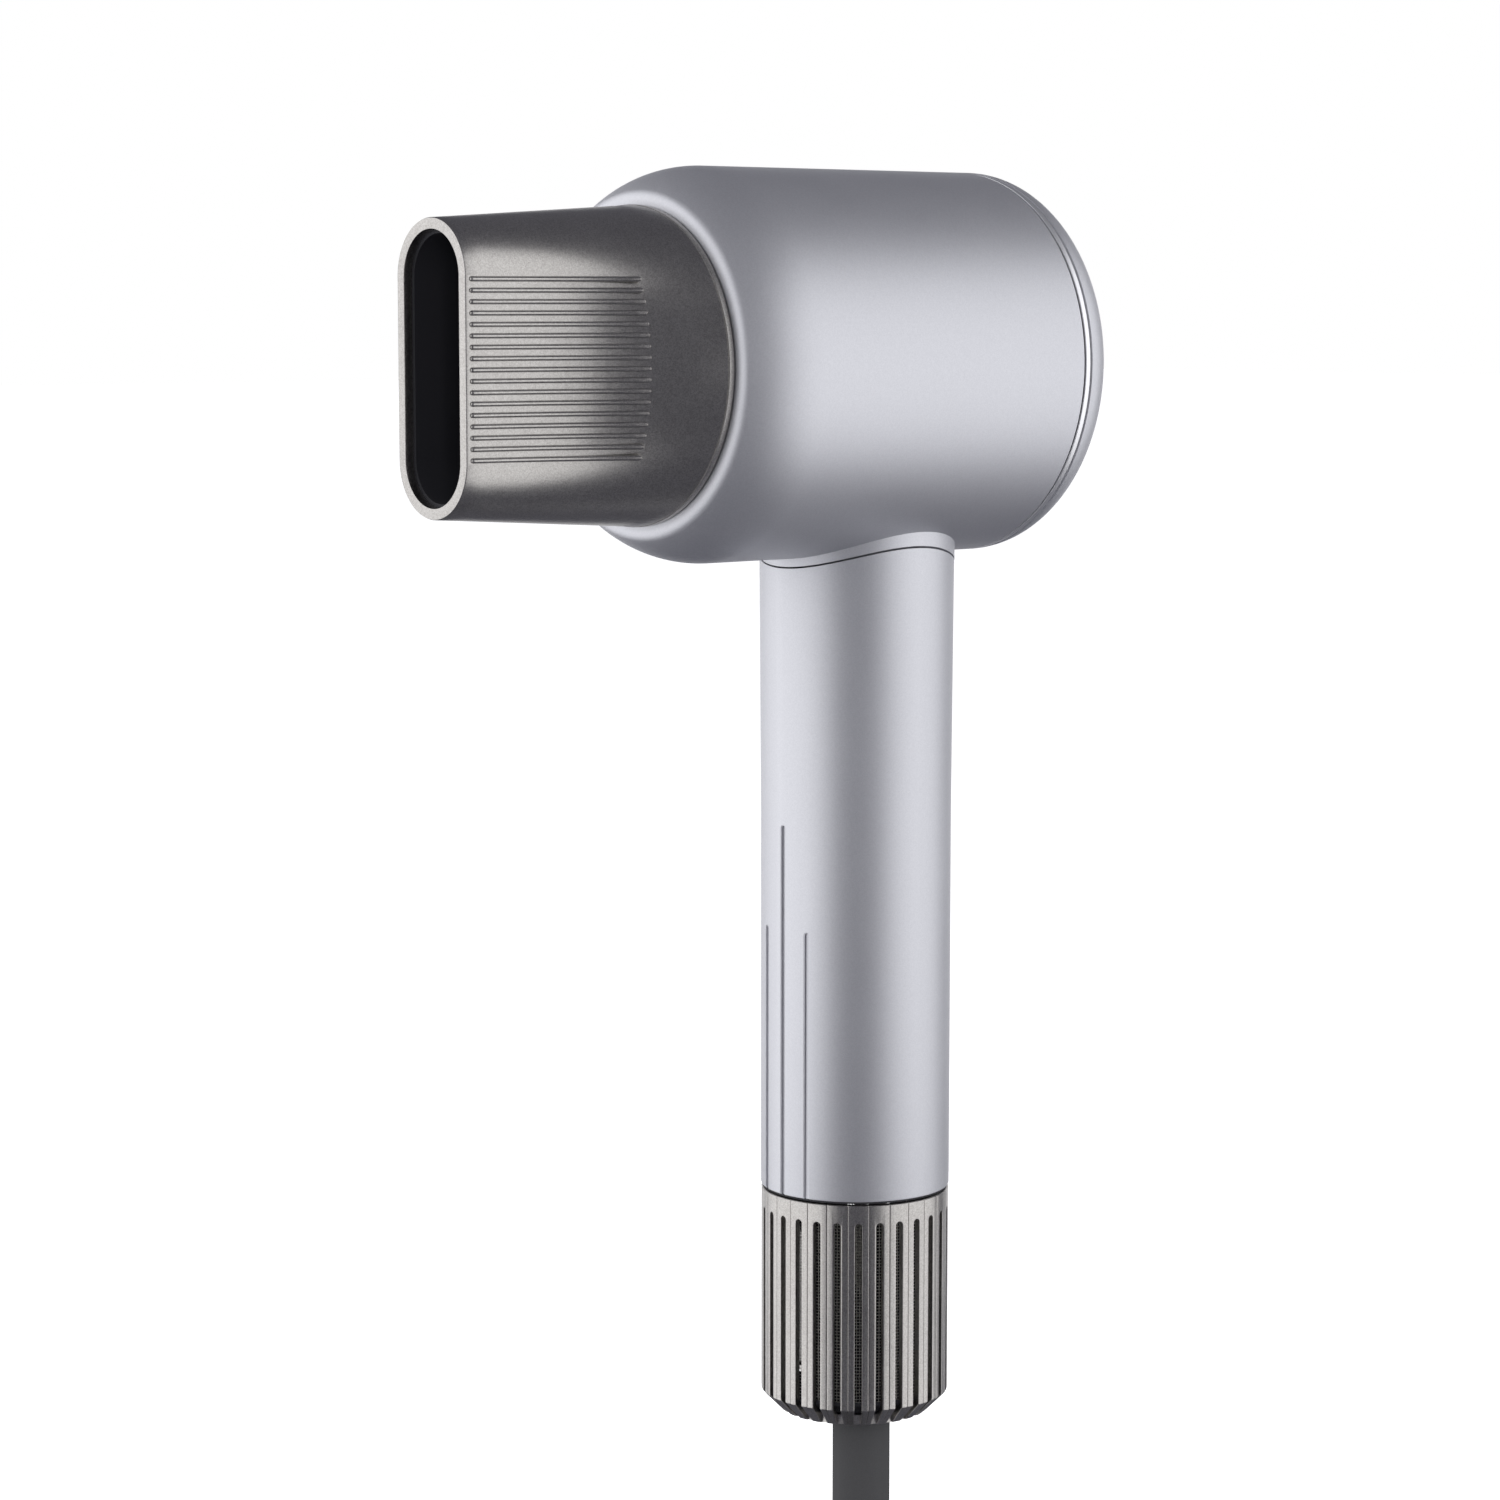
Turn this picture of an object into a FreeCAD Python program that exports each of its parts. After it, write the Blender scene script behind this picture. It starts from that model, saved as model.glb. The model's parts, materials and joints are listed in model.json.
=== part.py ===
"""Cylindrical hair dryer with a magnetic nozzle, as a FreeCAD macro in millimetres.

+Z is up and the nozzle points along -X. The origin lies on the handle's axis, at the middle
of the stretch that a hand or a holder grips. The head is a horizontal barrel, head_height
above the origin. Air enters through the filter cage at the foot of the handle, passes the
motor and the main board, turns forward in the head and leaves through heater and nozzle.
"""
import FreeCAD
import Part
import Sketcher
import math
import os
import re
from FreeCAD import Placement, Rotation, Vector

SIZES = {
    # head barrel, measured along X from the handle's axis
    "head_height": 110.0, "head_radius": 38.75, "head_wall": 2.0, "head_front": -57.0,
    "head_bend": 23.3, "bend_start": -41.7, "edge_round": 3.0, "barrel_rear": 26.5,
    "rear_gap": 0.3, "ring_width": 1.2, "rear_face": 36.0, "rear_bend": 7.5, "mouth_radius": 28.2,
    # handle, measured along Z from the origin
    "grip_radius": 19.5, "neck_radius": 19.9, "handle_wall": 1.6, "handle_bottom": -59.0,
    "taper_start": 20.0, "handle_top": 80.0, "collar_drop": 2.4, "collar_turn": 2.3,
    "collar_gap": 0.35, "groove_width": 1.1, "groove_depth": 0.5, "groove_angle": 18.7,
    "groove_top": 16.6, "side_groove_top": -4.7,
    # control panel on the rear of the handle
    "panel_bottom": -20.0, "panel_top": 46.0, "panel_half": 7.0, "button_radius": 3.6,
    "button_front": 20.1, "slider_travel": 4.0, "slider_low": -9.0,
    # nozzle, measured along X
    "nozzle_base": -57.2, "flange_width": 1.4, "flange_radius": 31.0, "nozzle_tip": -104.7,
    "tip_half_width": 11.0, "tip_half_height": 28.0, "nozzle_wall": 2.2, "nozzle_lean": 4.0,
    "throat_radius": 24.6, "rib_pitch": 2.08, "rib_radius": 0.5,
    # motor and air inlet
    "motor_radius": 15.4, "motor_bore": 14.2, "motor_low": -54.0, "motor_top": -18.0,
    "hub_radius": 8.0, "shaft_radius": 1.5, "impeller_radius": 13.9,
    # filter cage
    "cage_radius": 19.4, "cage_wall": 1.4, "cage_top": -59.65, "cage_bottom": -106.5,
    "cage_chamfer": 4.0, "slot_width": 1.45, "slot_top": -64.2, "frame_foot": -104.2,
    # cord
    "cord_radius": 3.75, "cord_shift": 2.0, "boot_radius": 6.0, "boot_straight": -130.0,
    "boot_end": -152.0, "hank_top": -172.0, "hank_half": 33.75, "hank_depth": 22.5,
    "hank_height": 158.0, "hank_hole": 18.75, "tail_end": -342.0,
}
SLOTS = 28
NOZZLE_RIBS = 17
PANEL_WALL = 1.8
PIN_SPACING = 19.0

doc = FreeCAD.newDocument("HairDryer")
sheet = doc.addObject("Spreadsheet::Sheet", "Dims")
subparts = []


def fill_sheet():
    """Write every driving dimension to the spreadsheet and give its cell an alias."""
    for row, (alias, size) in enumerate(SIZES.items(), start=1):
        sheet.set(f"A{row}", alias)
        sheet.set(f"B{row}", str(size))
        sheet.setAlias(f"B{row}", alias)
    doc.recompute()


def linked(formula):
    """Point each alias in a formula at the spreadsheet."""
    return re.sub(r"[a-z][a-z_]+", lambda word: "Dims." + word.group() if word.group() in SIZES
                  else word.group(), str(formula))


def value(formula):
    """Return a formula's present value as a float."""
    return float(sheet.evalExpression(linked(formula)))


def make(kind, name, **sizes):
    """Add an object whose properties follow formulas of spreadsheet aliases."""
    item = doc.addObject(kind, name)
    item.Label = name
    for key, formula in sizes.items():
        item.setExpression(key, linked(formula))
    return item


def put(item, x=0, y=0, z=0, turn=None):
    """Place an object by three formulas, after an optional rotation."""
    item.Placement = Placement(Vector(value(x), value(y), value(z)), turn or Rotation())
    for letter, formula in zip("xyz", (x, y, z)):
        item.setExpression("Placement.Base." + letter, linked(formula))
    return item


ALONG_X = Rotation(Vector(0, 1, 0), 90)
ALONG_Y = Rotation(Vector(1, 0, 0), -90)


def rod(name, radius, length, x=0, y=0, z=0, turn=None):
    """Solid cylinder that starts at a point and runs along Z, or as turned."""
    return put(make("Part::Cylinder", name, Radius=radius, Height=length), x, y, z, turn)


def block(name, size, x=0, y=0, z=0, turn=None):
    """Box of three formulas, from its low corner."""
    sizes = dict(zip(("Length", "Width", "Height"), size))
    return put(make("Part::Box", name, **sizes), x, y, z, turn)


def joined(name, pieces):
    """One solid from several that meet or overlap."""
    item = make("Part::MultiFuse", name)
    item.Shapes = pieces
    item.Refine = False
    return item


def grouped(name, pieces):
    """Separate solids that share one name, such as identical screws."""
    item = make("Part::Compound", name)
    item.Links = pieces
    return item


def cut(name, base, tools):
    """Take one or more tools away from a base."""
    item = make("Part::Cut", name)
    item.Base = base
    item.Tool = tools[0] if len(tools) == 1 else joined(name + "_tools", tools)
    return item


def shared(name, base, tool):
    """The space that two solids share."""
    item = make("Part::Common", name)
    item.Base = base
    item.Tool = tool
    return item


def keep(item):
    """Count an object as one of the dryer's pieces."""
    subparts.append(item)
    return item


def origin_plane(body, role):
    """Return one of a body's own origin planes."""
    return next(item for item in body.Origin.OriginFeatures if item.Role == role)


def add_sketch(body, name, role, offset="0"):
    """Attach a new sketch to an origin plane, moved along its normal."""
    sketch = body.newObject("Sketcher::SketchObject", name)
    sketch.AttachmentSupport = (origin_plane(body, role), [""])
    sketch.MapMode = "FlatFace"
    sketch.setExpression("AttachmentOffset.Base.z", linked(offset))
    return sketch


def arc_crown(start, end, bend):
    """Middle of the short arc between two points; a positive bend has its centre on the left."""
    chord = end - start
    left = Vector(-chord.y, chord.x, 0).normalize()
    reach = math.sqrt(max(bend ** 2 - (chord.Length / 2) ** 2, 0))
    return start + chord * 0.5 + left * math.copysign(1, bend) * (reach - abs(bend))


def draw_outline(sketch, corners):
    """Draw a closed outline.

    A corner is (x, y), or (x, y, bend) when the edge that leaves it is an arc: bend is then
    the arc's radius, negative when the arc's centre is on the right of the way.
    """
    points = [Vector(value(corner[0]), value(corner[1]), 0) for corner in corners]
    count = len(corners)
    for index, corner in enumerate(corners):
        start, end = points[index], points[(index + 1) % count]
        if len(corner) == 2:
            sketch.addGeometry(Part.LineSegment(start, end), False)
            continue
        crown = arc_crown(start, end, value(corner[2]))
        sketch.addGeometry(Part.Arc(start, crown, end), False)
    ends = [(2, 1) if len(corner) == 2 or value(corner[2]) > 0 else (1, 2) for corner in corners]
    for index, corner in enumerate(corners):
        before = index - 1 if index else count - 1
        half_circle = len(corner) == 3 and is_half_circle(points, index, value(corner[2]))
        kind = "Tangent" if half_circle else "Coincident"
        sketch.addConstraint(Sketcher.Constraint(kind, before, ends[before][0], index, ends[index][1]))
        if len(corner) == 3 and not half_circle:
            row = sketch.addConstraint(Sketcher.Constraint("Radius", index, abs(value(corner[2]))))
            sketch.setExpression(f"Constraints[{row}]", linked(f"abs({corner[2]})"))
    for index, corner in enumerate(corners):
        tie_start(sketch, index, ends[index][1], corner)


def is_half_circle(points, index, bend):
    """Say whether the arc that leaves a point is a whole half circle."""
    chord = points[(index + 1) % len(points)] - points[index]
    return abs(chord.Length - 2 * abs(bend)) < 1e-6


def tie_start(sketch, edge, end, corner):
    """Tie one end of an edge to its corner's two formulas."""
    for kind, axis, formula in (("DistanceX", -2, corner[0]), ("DistanceY", -1, corner[1])):
        if abs(value(formula)) < 1e-6:
            sketch.addConstraint(Sketcher.Constraint("PointOnObject", edge, end, axis))
            continue
        row = sketch.addConstraint(Sketcher.Constraint(kind, -1, 1, edge, end, value(formula)))
        sketch.setExpression(f"Constraints[{row}]", linked(formula))


def turned(name, corners, axis="V_Axis", height="0"):
    """Body of revolution: about its own Z for V_Axis, about its own X for H_Axis."""
    body = put(make("PartDesign::Body", name), z=height)
    sketch = add_sketch(body, name + "_outline", "XZ_Plane")
    draw_outline(sketch, corners)
    spin = body.newObject("PartDesign::Revolution", name + "_turned")
    spin.Profile = sketch
    spin.ReferenceAxis = (sketch, [axis])
    spin.Angle = 360
    return body


def barrel_ring(name, front, rear, inner, outer):
    """Plain ring about the head's axis."""
    corners = [(front, inner), (rear, inner), (rear, outer), (front, outer)]
    return turned(name, corners, "H_Axis", "head_height")


def handle_ring(name, low, high, inner, outer):
    """Plain ring about the handle's axis."""
    return turned(name, [(inner, low), (outer, low), (outer, high), (inner, high)])


def spoke_angles(count, first=0.0):
    """Evenly spaced angles in degrees."""
    return [first + 360.0 * step / count for step in range(count)]


def polar(radius, degrees):
    """Point on a circle about the origin."""
    return radius * math.cos(math.radians(degrees)), radius * math.sin(math.radians(degrees))


def spokes(name, count, size, inner, low, first=0.0):
    """Radial boxes about the handle's axis: size is (radial, across, height) formulas."""
    pieces = []
    for number, angle in enumerate(spoke_angles(count, first)):
        spoke = make("Part::Box", f"{name}_{number}", **dict(zip(("Length", "Width", "Height"), size)))
        turn = Rotation(Vector(0, 0, 1), angle)
        start = turn.multVec(Vector(value(inner), -value(size[1]) / 2, 0))
        spoke.Placement = Placement(Vector(start.x, start.y, value(low)), turn)
        pieces.append(spoke)
    return pieces


def head_spokes(name, count, size, inner, front, first=0.0):
    """Radial boxes about the head's axis: size is (along X, across, radial) formulas."""
    pieces = []
    for number, angle in enumerate(spoke_angles(count, first)):
        spoke = make("Part::Box", f"{name}_{number}", **dict(zip(("Length", "Width", "Height"), size)))
        turn = Rotation(Vector(1, 0, 0), angle)
        start = turn.multVec(Vector(0, -value(size[1]) / 2, value(inner)))
        spoke.Placement = Placement(Vector(value(front), start.y, start.z + value("head_height")), turn)
        pieces.append(spoke)
    return pieces


BEND_SHARE = 0.45


def route_wire(points):
    """Straight runs joined by tangent arcs, each as large as its two runs allow."""
    corners = [Vector(*point) for point in points]
    edges, last = [], corners[0]
    for before, corner, after in zip(corners, corners[1:], corners[2:]):
        back, ahead = before - corner, after - corner
        half_turn = (math.pi - back.getAngle(ahead)) / 2
        reach = BEND_SHARE * min(back.Length, ahead.Length)
        radius = reach / math.tan(half_turn)
        start = corner + back.normalize() * reach
        end = corner + ahead.normalize() * reach
        centre = corner + (back + ahead).normalize() * (radius / math.cos(half_turn))
        crown = centre + (corner - centre).normalize() * radius
        edges += [Part.LineSegment(last, start).toShape(), Part.Arc(start, crown, end).toShape()]
        last = end
    edges.append(Part.LineSegment(last, corners[-1]).toShape())
    return Part.Wire(edges)


def tube_along(points, radius):
    """Round solid along a route."""
    ahead = Vector(*points[1]) - Vector(*points[0])
    section = Part.Wire([Part.makeCircle(radius, Vector(*points[0]), ahead)])
    return route_wire(points).makePipeShell([section], True, False)


def wires(name, routes, radius):
    """Group of round wires along hand-chosen routes."""
    item = doc.addObject("Part::Feature", name)
    item.Label = name
    item.Shape = Part.makeCompound([tube_along(route, radius) for route in routes])
    return keep(item)


# Head ---------------------------------------------------------------------------------------

EDGE_RUN = "(bend_start - head_front - edge_round)"
EDGE_RISE = f"sqrt((head_bend - edge_round) ^ 2 - {EDGE_RUN} ^ 2)"
EDGE_START = f"bend_start - head_bend * {EDGE_RUN} / (head_bend - edge_round)"
EDGE_RADIUS = f"head_radius - head_bend + head_bend * {EDGE_RISE} / (head_bend - edge_round)"
RIM_RADIUS = f"head_radius - head_bend + {EDGE_RISE}"
LIP = "(head_front + 2.2)"
INNER_BEND = "(head_bend - head_wall)"
LIP_RADIUS = f"(head_radius - head_bend + sqrt({INNER_BEND} ^ 2 - (bend_start - {LIP}) ^ 2))"
COVER_FRONT = "(barrel_rear + 2 * rear_gap + ring_width)"
WALL_FIT = "head_radius - head_wall - 0.25"


def coping(name, drop):
    """Cylinder that trims the neck below the head, turned a little off the head's axis."""
    item = make("Part::Cylinder", name, Radius=f"head_radius + {drop}", Height=160)
    turn = Rotation(Vector(0, 1, 0), 90 + value("collar_turn"))
    start = turn.multVec(Vector(0, 0, -80)) + Vector(0, 0, value("head_height"))
    item.Placement = Placement(start, turn)
    return item


def head_shell():
    """Front barrel with its rounded nose and the short collar that meets the handle."""
    barrel = turned("head_barrel", [
        ("head_front", "mouth_radius"), (LIP, "mouth_radius"),
        (LIP, LIP_RADIUS, f"-{INNER_BEND}"), ("bend_start", "head_radius - head_wall"),
        ("barrel_rear", "head_radius - head_wall"), ("barrel_rear", "head_radius"),
        ("bend_start", "head_radius", "head_bend"), (EDGE_START, EDGE_RADIUS, "edge_round"),
        ("head_front", RIM_RADIUS)],
        "H_Axis", "head_height")
    neck = rod("collar_neck", "neck_radius", 22, z="head_height - 54")
    collar = shared("collar_stub", neck, coping("collar_trim", "collar_drop"))
    way = rod("head_inlet", "neck_radius - 2", "head_height - 50", z=50)
    keep(cut("head_shell", joined("head_and_collar", [barrel, collar]), [way]))


def rear_end():
    """Gasket, bright trim ring and the closed rear cover."""
    keep(barrel_ring("rear_gasket", "barrel_rear", COVER_FRONT, "head_radius - 4",
                     "head_radius - 0.6"))
    keep(barrel_ring("rear_trim_ring", "barrel_rear + rear_gap",
                     "barrel_rear + rear_gap + ring_width", "head_radius - 0.6", "head_radius"))
    keep(turned("rear_cover", [
        ("rear_face - 2", 0), ("rear_face - 2", "head_radius - rear_bend - 1"),
        (COVER_FRONT, "head_radius - rear_bend - 1"), (COVER_FRONT, "head_radius"),
        ("rear_face - rear_bend", "head_radius", "-rear_bend"),
        ("rear_face", "head_radius - rear_bend"), ("rear_face", 0)],
        "H_Axis", "head_height"))


def outlet():
    """Seat for the nozzle with its magnet, and the guard in front of the heater."""
    keep(turned("outlet_bezel", [
        ("head_front", 24.4), ("head_front + 6", 24.4), ("head_front + 6", 28),
        ("head_front + 3.2", 28), ("head_front + 3.2", 25.2), ("head_front + 0.8", 25.2),
        ("head_front + 0.8", 28), ("head_front", 28)], "H_Axis", "head_height"))
    keep(barrel_ring("nozzle_magnet", "head_front + 0.85", "head_front + 3.15", 25.3, 27.9))
    hoops = [barrel_ring(f"guard_hoop_{number}", "head_front + 4", "head_front + 5.4",
                         radius, radius + 1.1) for number, radius in enumerate((5, 11.5, 18, 23.2))]
    bars = head_spokes("guard_bar", 6, (1.4, 1.1, 18.6), 5.2, "head_front + 4", 30)
    keep(joined("outlet_guard", hoops + bars))


def air_duct():
    """Heat shield round the heater, with the baffle that sends the air through it."""
    keep(turned("heat_shield", [
        ("head_front + 6.2", 26.4), (-21, 26.4), (-21, WALL_FIT), (-22.2, WALL_FIT),
        (-22.2, 27.4), ("head_front + 6.2", 27.4)], "H_Axis", "head_height"))
    keep(barrel_ring("rear_baffle", 21, 22.4, 3, WALL_FIT))
    keep(turned("air_deflector", [(6, 0), (20.9, 0), (20.9, 25)], "H_Axis", "head_height"))


def heater():
    """Two crossed mica plates that carry the wound wire, the cut-out and the fuse."""
    plates = [block("mica_upright", (26, 0.8, 52), -47, -0.4, "head_height - 26"),
              block("mica_level", (26, 52, 0.8), -47, -26, "head_height - 0.4")]
    keep(joined("heater_frame", plates))
    rings = []
    for row, radius in enumerate((22.5, 15.0)):
        for turn_number in range(6):
            front = -45 + 4 * turn_number
            rings.append(barrel_ring(f"heater_turn_{row}_{turn_number}", front, front + 1.2,
                                     radius, radius + 1.2))
    keep(grouped("heater_wire", rings))
    keep(block("thermal_cutout", (9, 6, 5), -42, 1, "head_height + 1.2"))
    keep(rod("thermal_fuse", 1.6, 11, -42, 4, "head_height - 3.5", ALONG_X))


def ion_parts():
    """Ion generator behind the baffle and its needle in the middle of the guard."""
    keep(block("ion_generator", (9, 26, 16), 23.5, -13, "head_height - 8"))
    keep(turned("ion_needle", [
        ("head_front + 2", 0), (-49, 0), (-49, 1.5), ("head_front + 5", 1.5)],
        "H_Axis", "head_height"))


def head_screws():
    """Three screws that hold the rear baffle to the gasket ring."""
    screws = []
    for number, angle in enumerate(spoke_angles(3, 30)):
        side, up = polar(30.5, angle)
        head = rod(f"rear_screw_head_{number}", 2.4, 1.6, 22.5, side, f"head_height + {up}", ALONG_X)
        shank = rod(f"rear_screw_shank_{number}", 1.2, 6, 24, side, f"head_height + {up}", ALONG_X)
        screws.append(joined(f"rear_screw_{number}", [head, shank]))
    keep(grouped("rear_screws", screws))


# Handle -------------------------------------------------------------------------------------

BORE = "(grip_radius - handle_wall)"


def front_groove(name, angle, top):
    """Fine upright groove with a rounded top, cut into the tube's outside."""
    across, deep = "groove_width", "groove_depth + 1"
    low = "handle_bottom - 1"
    turn = Rotation(Vector(0, 0, 1), 180 + angle)
    slot = block(name + "_slot", (deep, across, f"{top} - ({low})"))
    start = turn.multVec(Vector(value("grip_radius - groove_depth"), -value(across) / 2, 0))
    slot.Placement = Placement(Vector(start.x, start.y, value(low)), turn)
    end = rod(name + "_end", f"{across} / 2", deep)
    start = turn.multVec(Vector(value("grip_radius - groove_depth"), 0, 0))
    end.Placement = Placement(Vector(start.x, start.y, value(top)), turn.multiply(ALONG_X))
    return joined(name, [slot, end])


def handle_tube():
    """Long tube, trimmed to the head at its top, with the panel's window and three grooves."""
    tube = turned("handle_blank", [
        (BORE, "handle_bottom"), ("grip_radius", "handle_bottom"), ("grip_radius", "taper_start"),
        ("neck_radius", "handle_top"), (BORE, "handle_top")])
    window = block("panel_window", (12, "2 * panel_half", "panel_top - panel_bottom"),
                   12, "-panel_half", "panel_bottom")
    grooves = [front_groove("middle_groove", 0, "groove_top"),
               front_groove("left_groove", value("-groove_angle"), "side_groove_top"),
               front_groove("right_groove", value("groove_angle"), "side_groove_top")]
    trim = coping("handle_trim", "collar_drop + collar_gap")
    keep(cut("handle_tube", tube, [trim, window] + grooves))


def neck_sleeve():
    """Inner sleeve that joins handle and head and shows dark in the seam between them."""
    sleeve = handle_ring("neck_blank", 50, 73, f"{BORE} - 1.4", f"{BORE} - 0.05")
    keep(cut("neck_sleeve", sleeve, [coping("neck_trim", "-head_wall - 0.1")]))


def chassis():
    """Two half frames that hold the boards, open behind the control panel."""
    for name, low_side in (("chassis_left", -20), ("chassis_right", 0.1)):
        ring = handle_ring(name + "_ring", -13, 48, f"{BORE} - 1.3", f"{BORE} - 0.1")
        half = shared(name + "_half", ring, block(name + "_side", (40, 19.9, 70), -20, low_side, -20))
        gap = block(name + "_gap", (20, 16, 80), 5, -8, -22)
        keep(cut(name, half, [gap]))


def main_board():
    """Main circuit board with its larger parts on the front side."""
    keep(block("main_board", (1.6, 29, 54), -3, -14.5, -9))
    parts = [rod("board_capacitor", 5, 20, -8.1, -5.5, 18), rod("board_choke", 4.4, 9, -7.5, 6, 26),
             block("board_heatsink", (8, 3, 22), -11.1, 8, -2),
             block("board_driver", (1.6, 9, 9), -4.7, -5, 2),
             block("board_relay", (7, 9, 11), -10.1, -4, -8.5)]
    keep(grouped("board_parts", parts))
    keep(block("switch_board", (1.2, 12, 62), 9.6, -6, -18))


RIDGE_PITCH = 1.5
BUTTONS = {"speed_button": 12.0, "temperature_button": 24.0, "cool_button": 36.0}


def control_panel():
    """Dark curved panel in the handle's window, bored for the buttons and the slider."""
    ring = handle_ring("panel_ring", "panel_bottom + 0.1", "panel_top - 0.1",
                       f"grip_radius - 0.1 - {PANEL_WALL}", "grip_radius - 0.1")
    window = block("panel_block", (12, "2 * panel_half - 0.2", "panel_top - panel_bottom"),
                   12, "0.1 - panel_half", "panel_bottom")
    plate = shared("panel_plate", ring, window)
    holes = [rod(f"{name}_hole", "button_radius + 0.2", 12, 12, 0, height, ALONG_X)
             for name, height in BUTTONS.items()]
    holes.append(block("slider_slot", (12, 3.4, "slider_travel + 8.4"), 12, -1.7, "slider_low - 4.2"))
    holes += [rod(f"lens_hole_{number}", 0.85, 12, 12, 5.2, height, ALONG_X)
              for number, height in enumerate(BUTTONS.values())]
    keep(cut("control_panel", plate, holes))


def buttons():
    """Three push buttons with collars behind the panel, over three small switches."""
    for name, height in BUTTONS.items():
        cap = rod(name + "_cap", "button_radius", "button_front - 16", 16, 0, height, ALONG_X)
        collar = rod(name + "_collar", "button_radius + 0.6", 1, 15.6, 0, height, ALONG_X)
        stem = rod(name + "_stem", 1.2, 1.2, 14.9, 0, height, ALONG_X)
        keep(joined(name, [cap, collar, stem]))
    switches = []
    for number, height in enumerate(BUTTONS.values()):
        case = block(f"switch_case_{number}", (2.6, 6, 6), 10.8, -3, height - 3)
        dome = rod(f"switch_dome_{number}", 1.6, 0.7, 13.4, 0, height, ALONG_X)
        switches.append(joined(f"switch_{number}", [case, dome]))
    keep(grouped("tact_switches", switches))
    lenses = [rod(f"lens_{number}", 0.8, 2.2, 16.6, 5.2, height, ALONG_X)
              for number, height in enumerate(BUTTONS.values())]
    keep(grouped("indicator_lenses", lenses))


def power_slider():
    """Power slider: grooved knob outside, neck through the slot and foot in the switch."""
    low = "slider_low - 4"
    knob = block("slider_knob", (1.2, 7, 8), 19.75, -3.5, low)
    neck = block("slider_neck", (5.5, 3, 8), 14.5, -1.5, low)
    foot = block("slider_foot", (1.2, 8, 8), 14.5, -4, low)
    rises = [RIDGE_PITCH * (number - 2) - 0.25 for number in range(5)]
    ridges = [block(f"slider_ridge_{number}", (0.5, 7, 0.5), 20.9, -3.5, f"slider_low + {rise}")
              for number, rise in enumerate(rises)]
    keep(joined("power_slider", [knob, neck, foot] + ridges))
    keep(block("power_switch", (3.2, 7, 14), 10.8, -3.5, "slider_low - 5"))


# Motor and inlet ----------------------------------------------------------------------------

def motor_housing():
    """Motor case: outer wall, straightening vanes, hub and two bearing plates."""
    wall = handle_ring("motor_wall", "motor_low", "motor_top", "motor_bore", "motor_radius")
    hub = handle_ring("motor_hub", -42.5, -24, "hub_radius - 1", "hub_radius")
    plates = [handle_ring("bearing_plate_low", -42.5, -39.6, 3.6, "hub_radius - 0.5"),
              handle_ring("bearing_plate_top", -26.6, -24, 3.6, "hub_radius - 0.5")]
    vanes = spokes("motor_vane", 11, ("motor_bore - hub_radius + 0.8", 0.9, 12), "hub_radius - 0.4", -38)
    keep(joined("motor_housing", [wall, hub] + plates + vanes))


def motor_core():
    """Stator, bearings and the turning shaft, magnet and impeller."""
    ring = handle_ring("stator_ring", -37, -29, 4, "hub_radius - 1.1")
    slots = spokes("stator_slot", 3, (4.4, 2.4, 12), 3.4, -39, 60)
    keep(cut("motor_stator", ring, slots))
    bearings = [handle_ring("bearing_low", -42.2, -39.8, "shaft_radius + 0.05", 3.55),
                handle_ring("bearing_top", -26.4, -24.2, "shaft_radius + 0.05", 3.55)]
    keep(grouped("motor_bearings", bearings))
    keep(rod("motor_shaft", "shaft_radius", 29, z=-52))
    keep(handle_ring("rotor_magnet", -38, -28.5, "shaft_radius + 0.01", 3.5))


def impeller():
    """Mixed-flow impeller: a cone hub with nine slanted blades."""
    hub = turned("impeller_hub", [
        ("shaft_radius + 0.01", -52), (3.2, -52), ("hub_radius - 0.3", -43.4),
        ("shaft_radius + 0.01", -43.4)])
    blades = []
    for number, angle in enumerate(spoke_angles(9)):
        blade = make("Part::Box", f"impeller_blade_{number}", Length="impeller_radius - 3.2",
                     Width=0.9, Height=7.4)
        turn = Rotation(Vector(0, 0, 1), angle).multiply(Rotation(Vector(1, 0, 0), 34))
        start = turn.multVec(Vector(3.0, -0.45, -3.7))
        blade.Placement = Placement(Vector(start.x, start.y, start.z - 47.7), turn)
        blades.append(blade)
    blank = joined("impeller_blank", [hub] + blades)
    sweep = handle_ring("impeller_sweep", -52, -43.4, "shaft_radius + 0.01", "impeller_radius")
    keep(shared("impeller", blank, sweep))


def motor_mounts():
    """Two soft rings between motor case and handle, notched for the supply wires."""
    rings = []
    for number, low in enumerate((-51, -26)):
        ring = handle_ring(f"mount_ring_{number}", low, low + 5, "motor_radius + 0.02", f"{BORE} - 0.05")
        notch = block(f"mount_notch_{number}", (5, 5.4, 8), -19, -2.7, low - 1.5)
        rings.append(cut(f"mount_{number}", ring, [notch]))
    keep(grouped("motor_mounts", rings))


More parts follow.
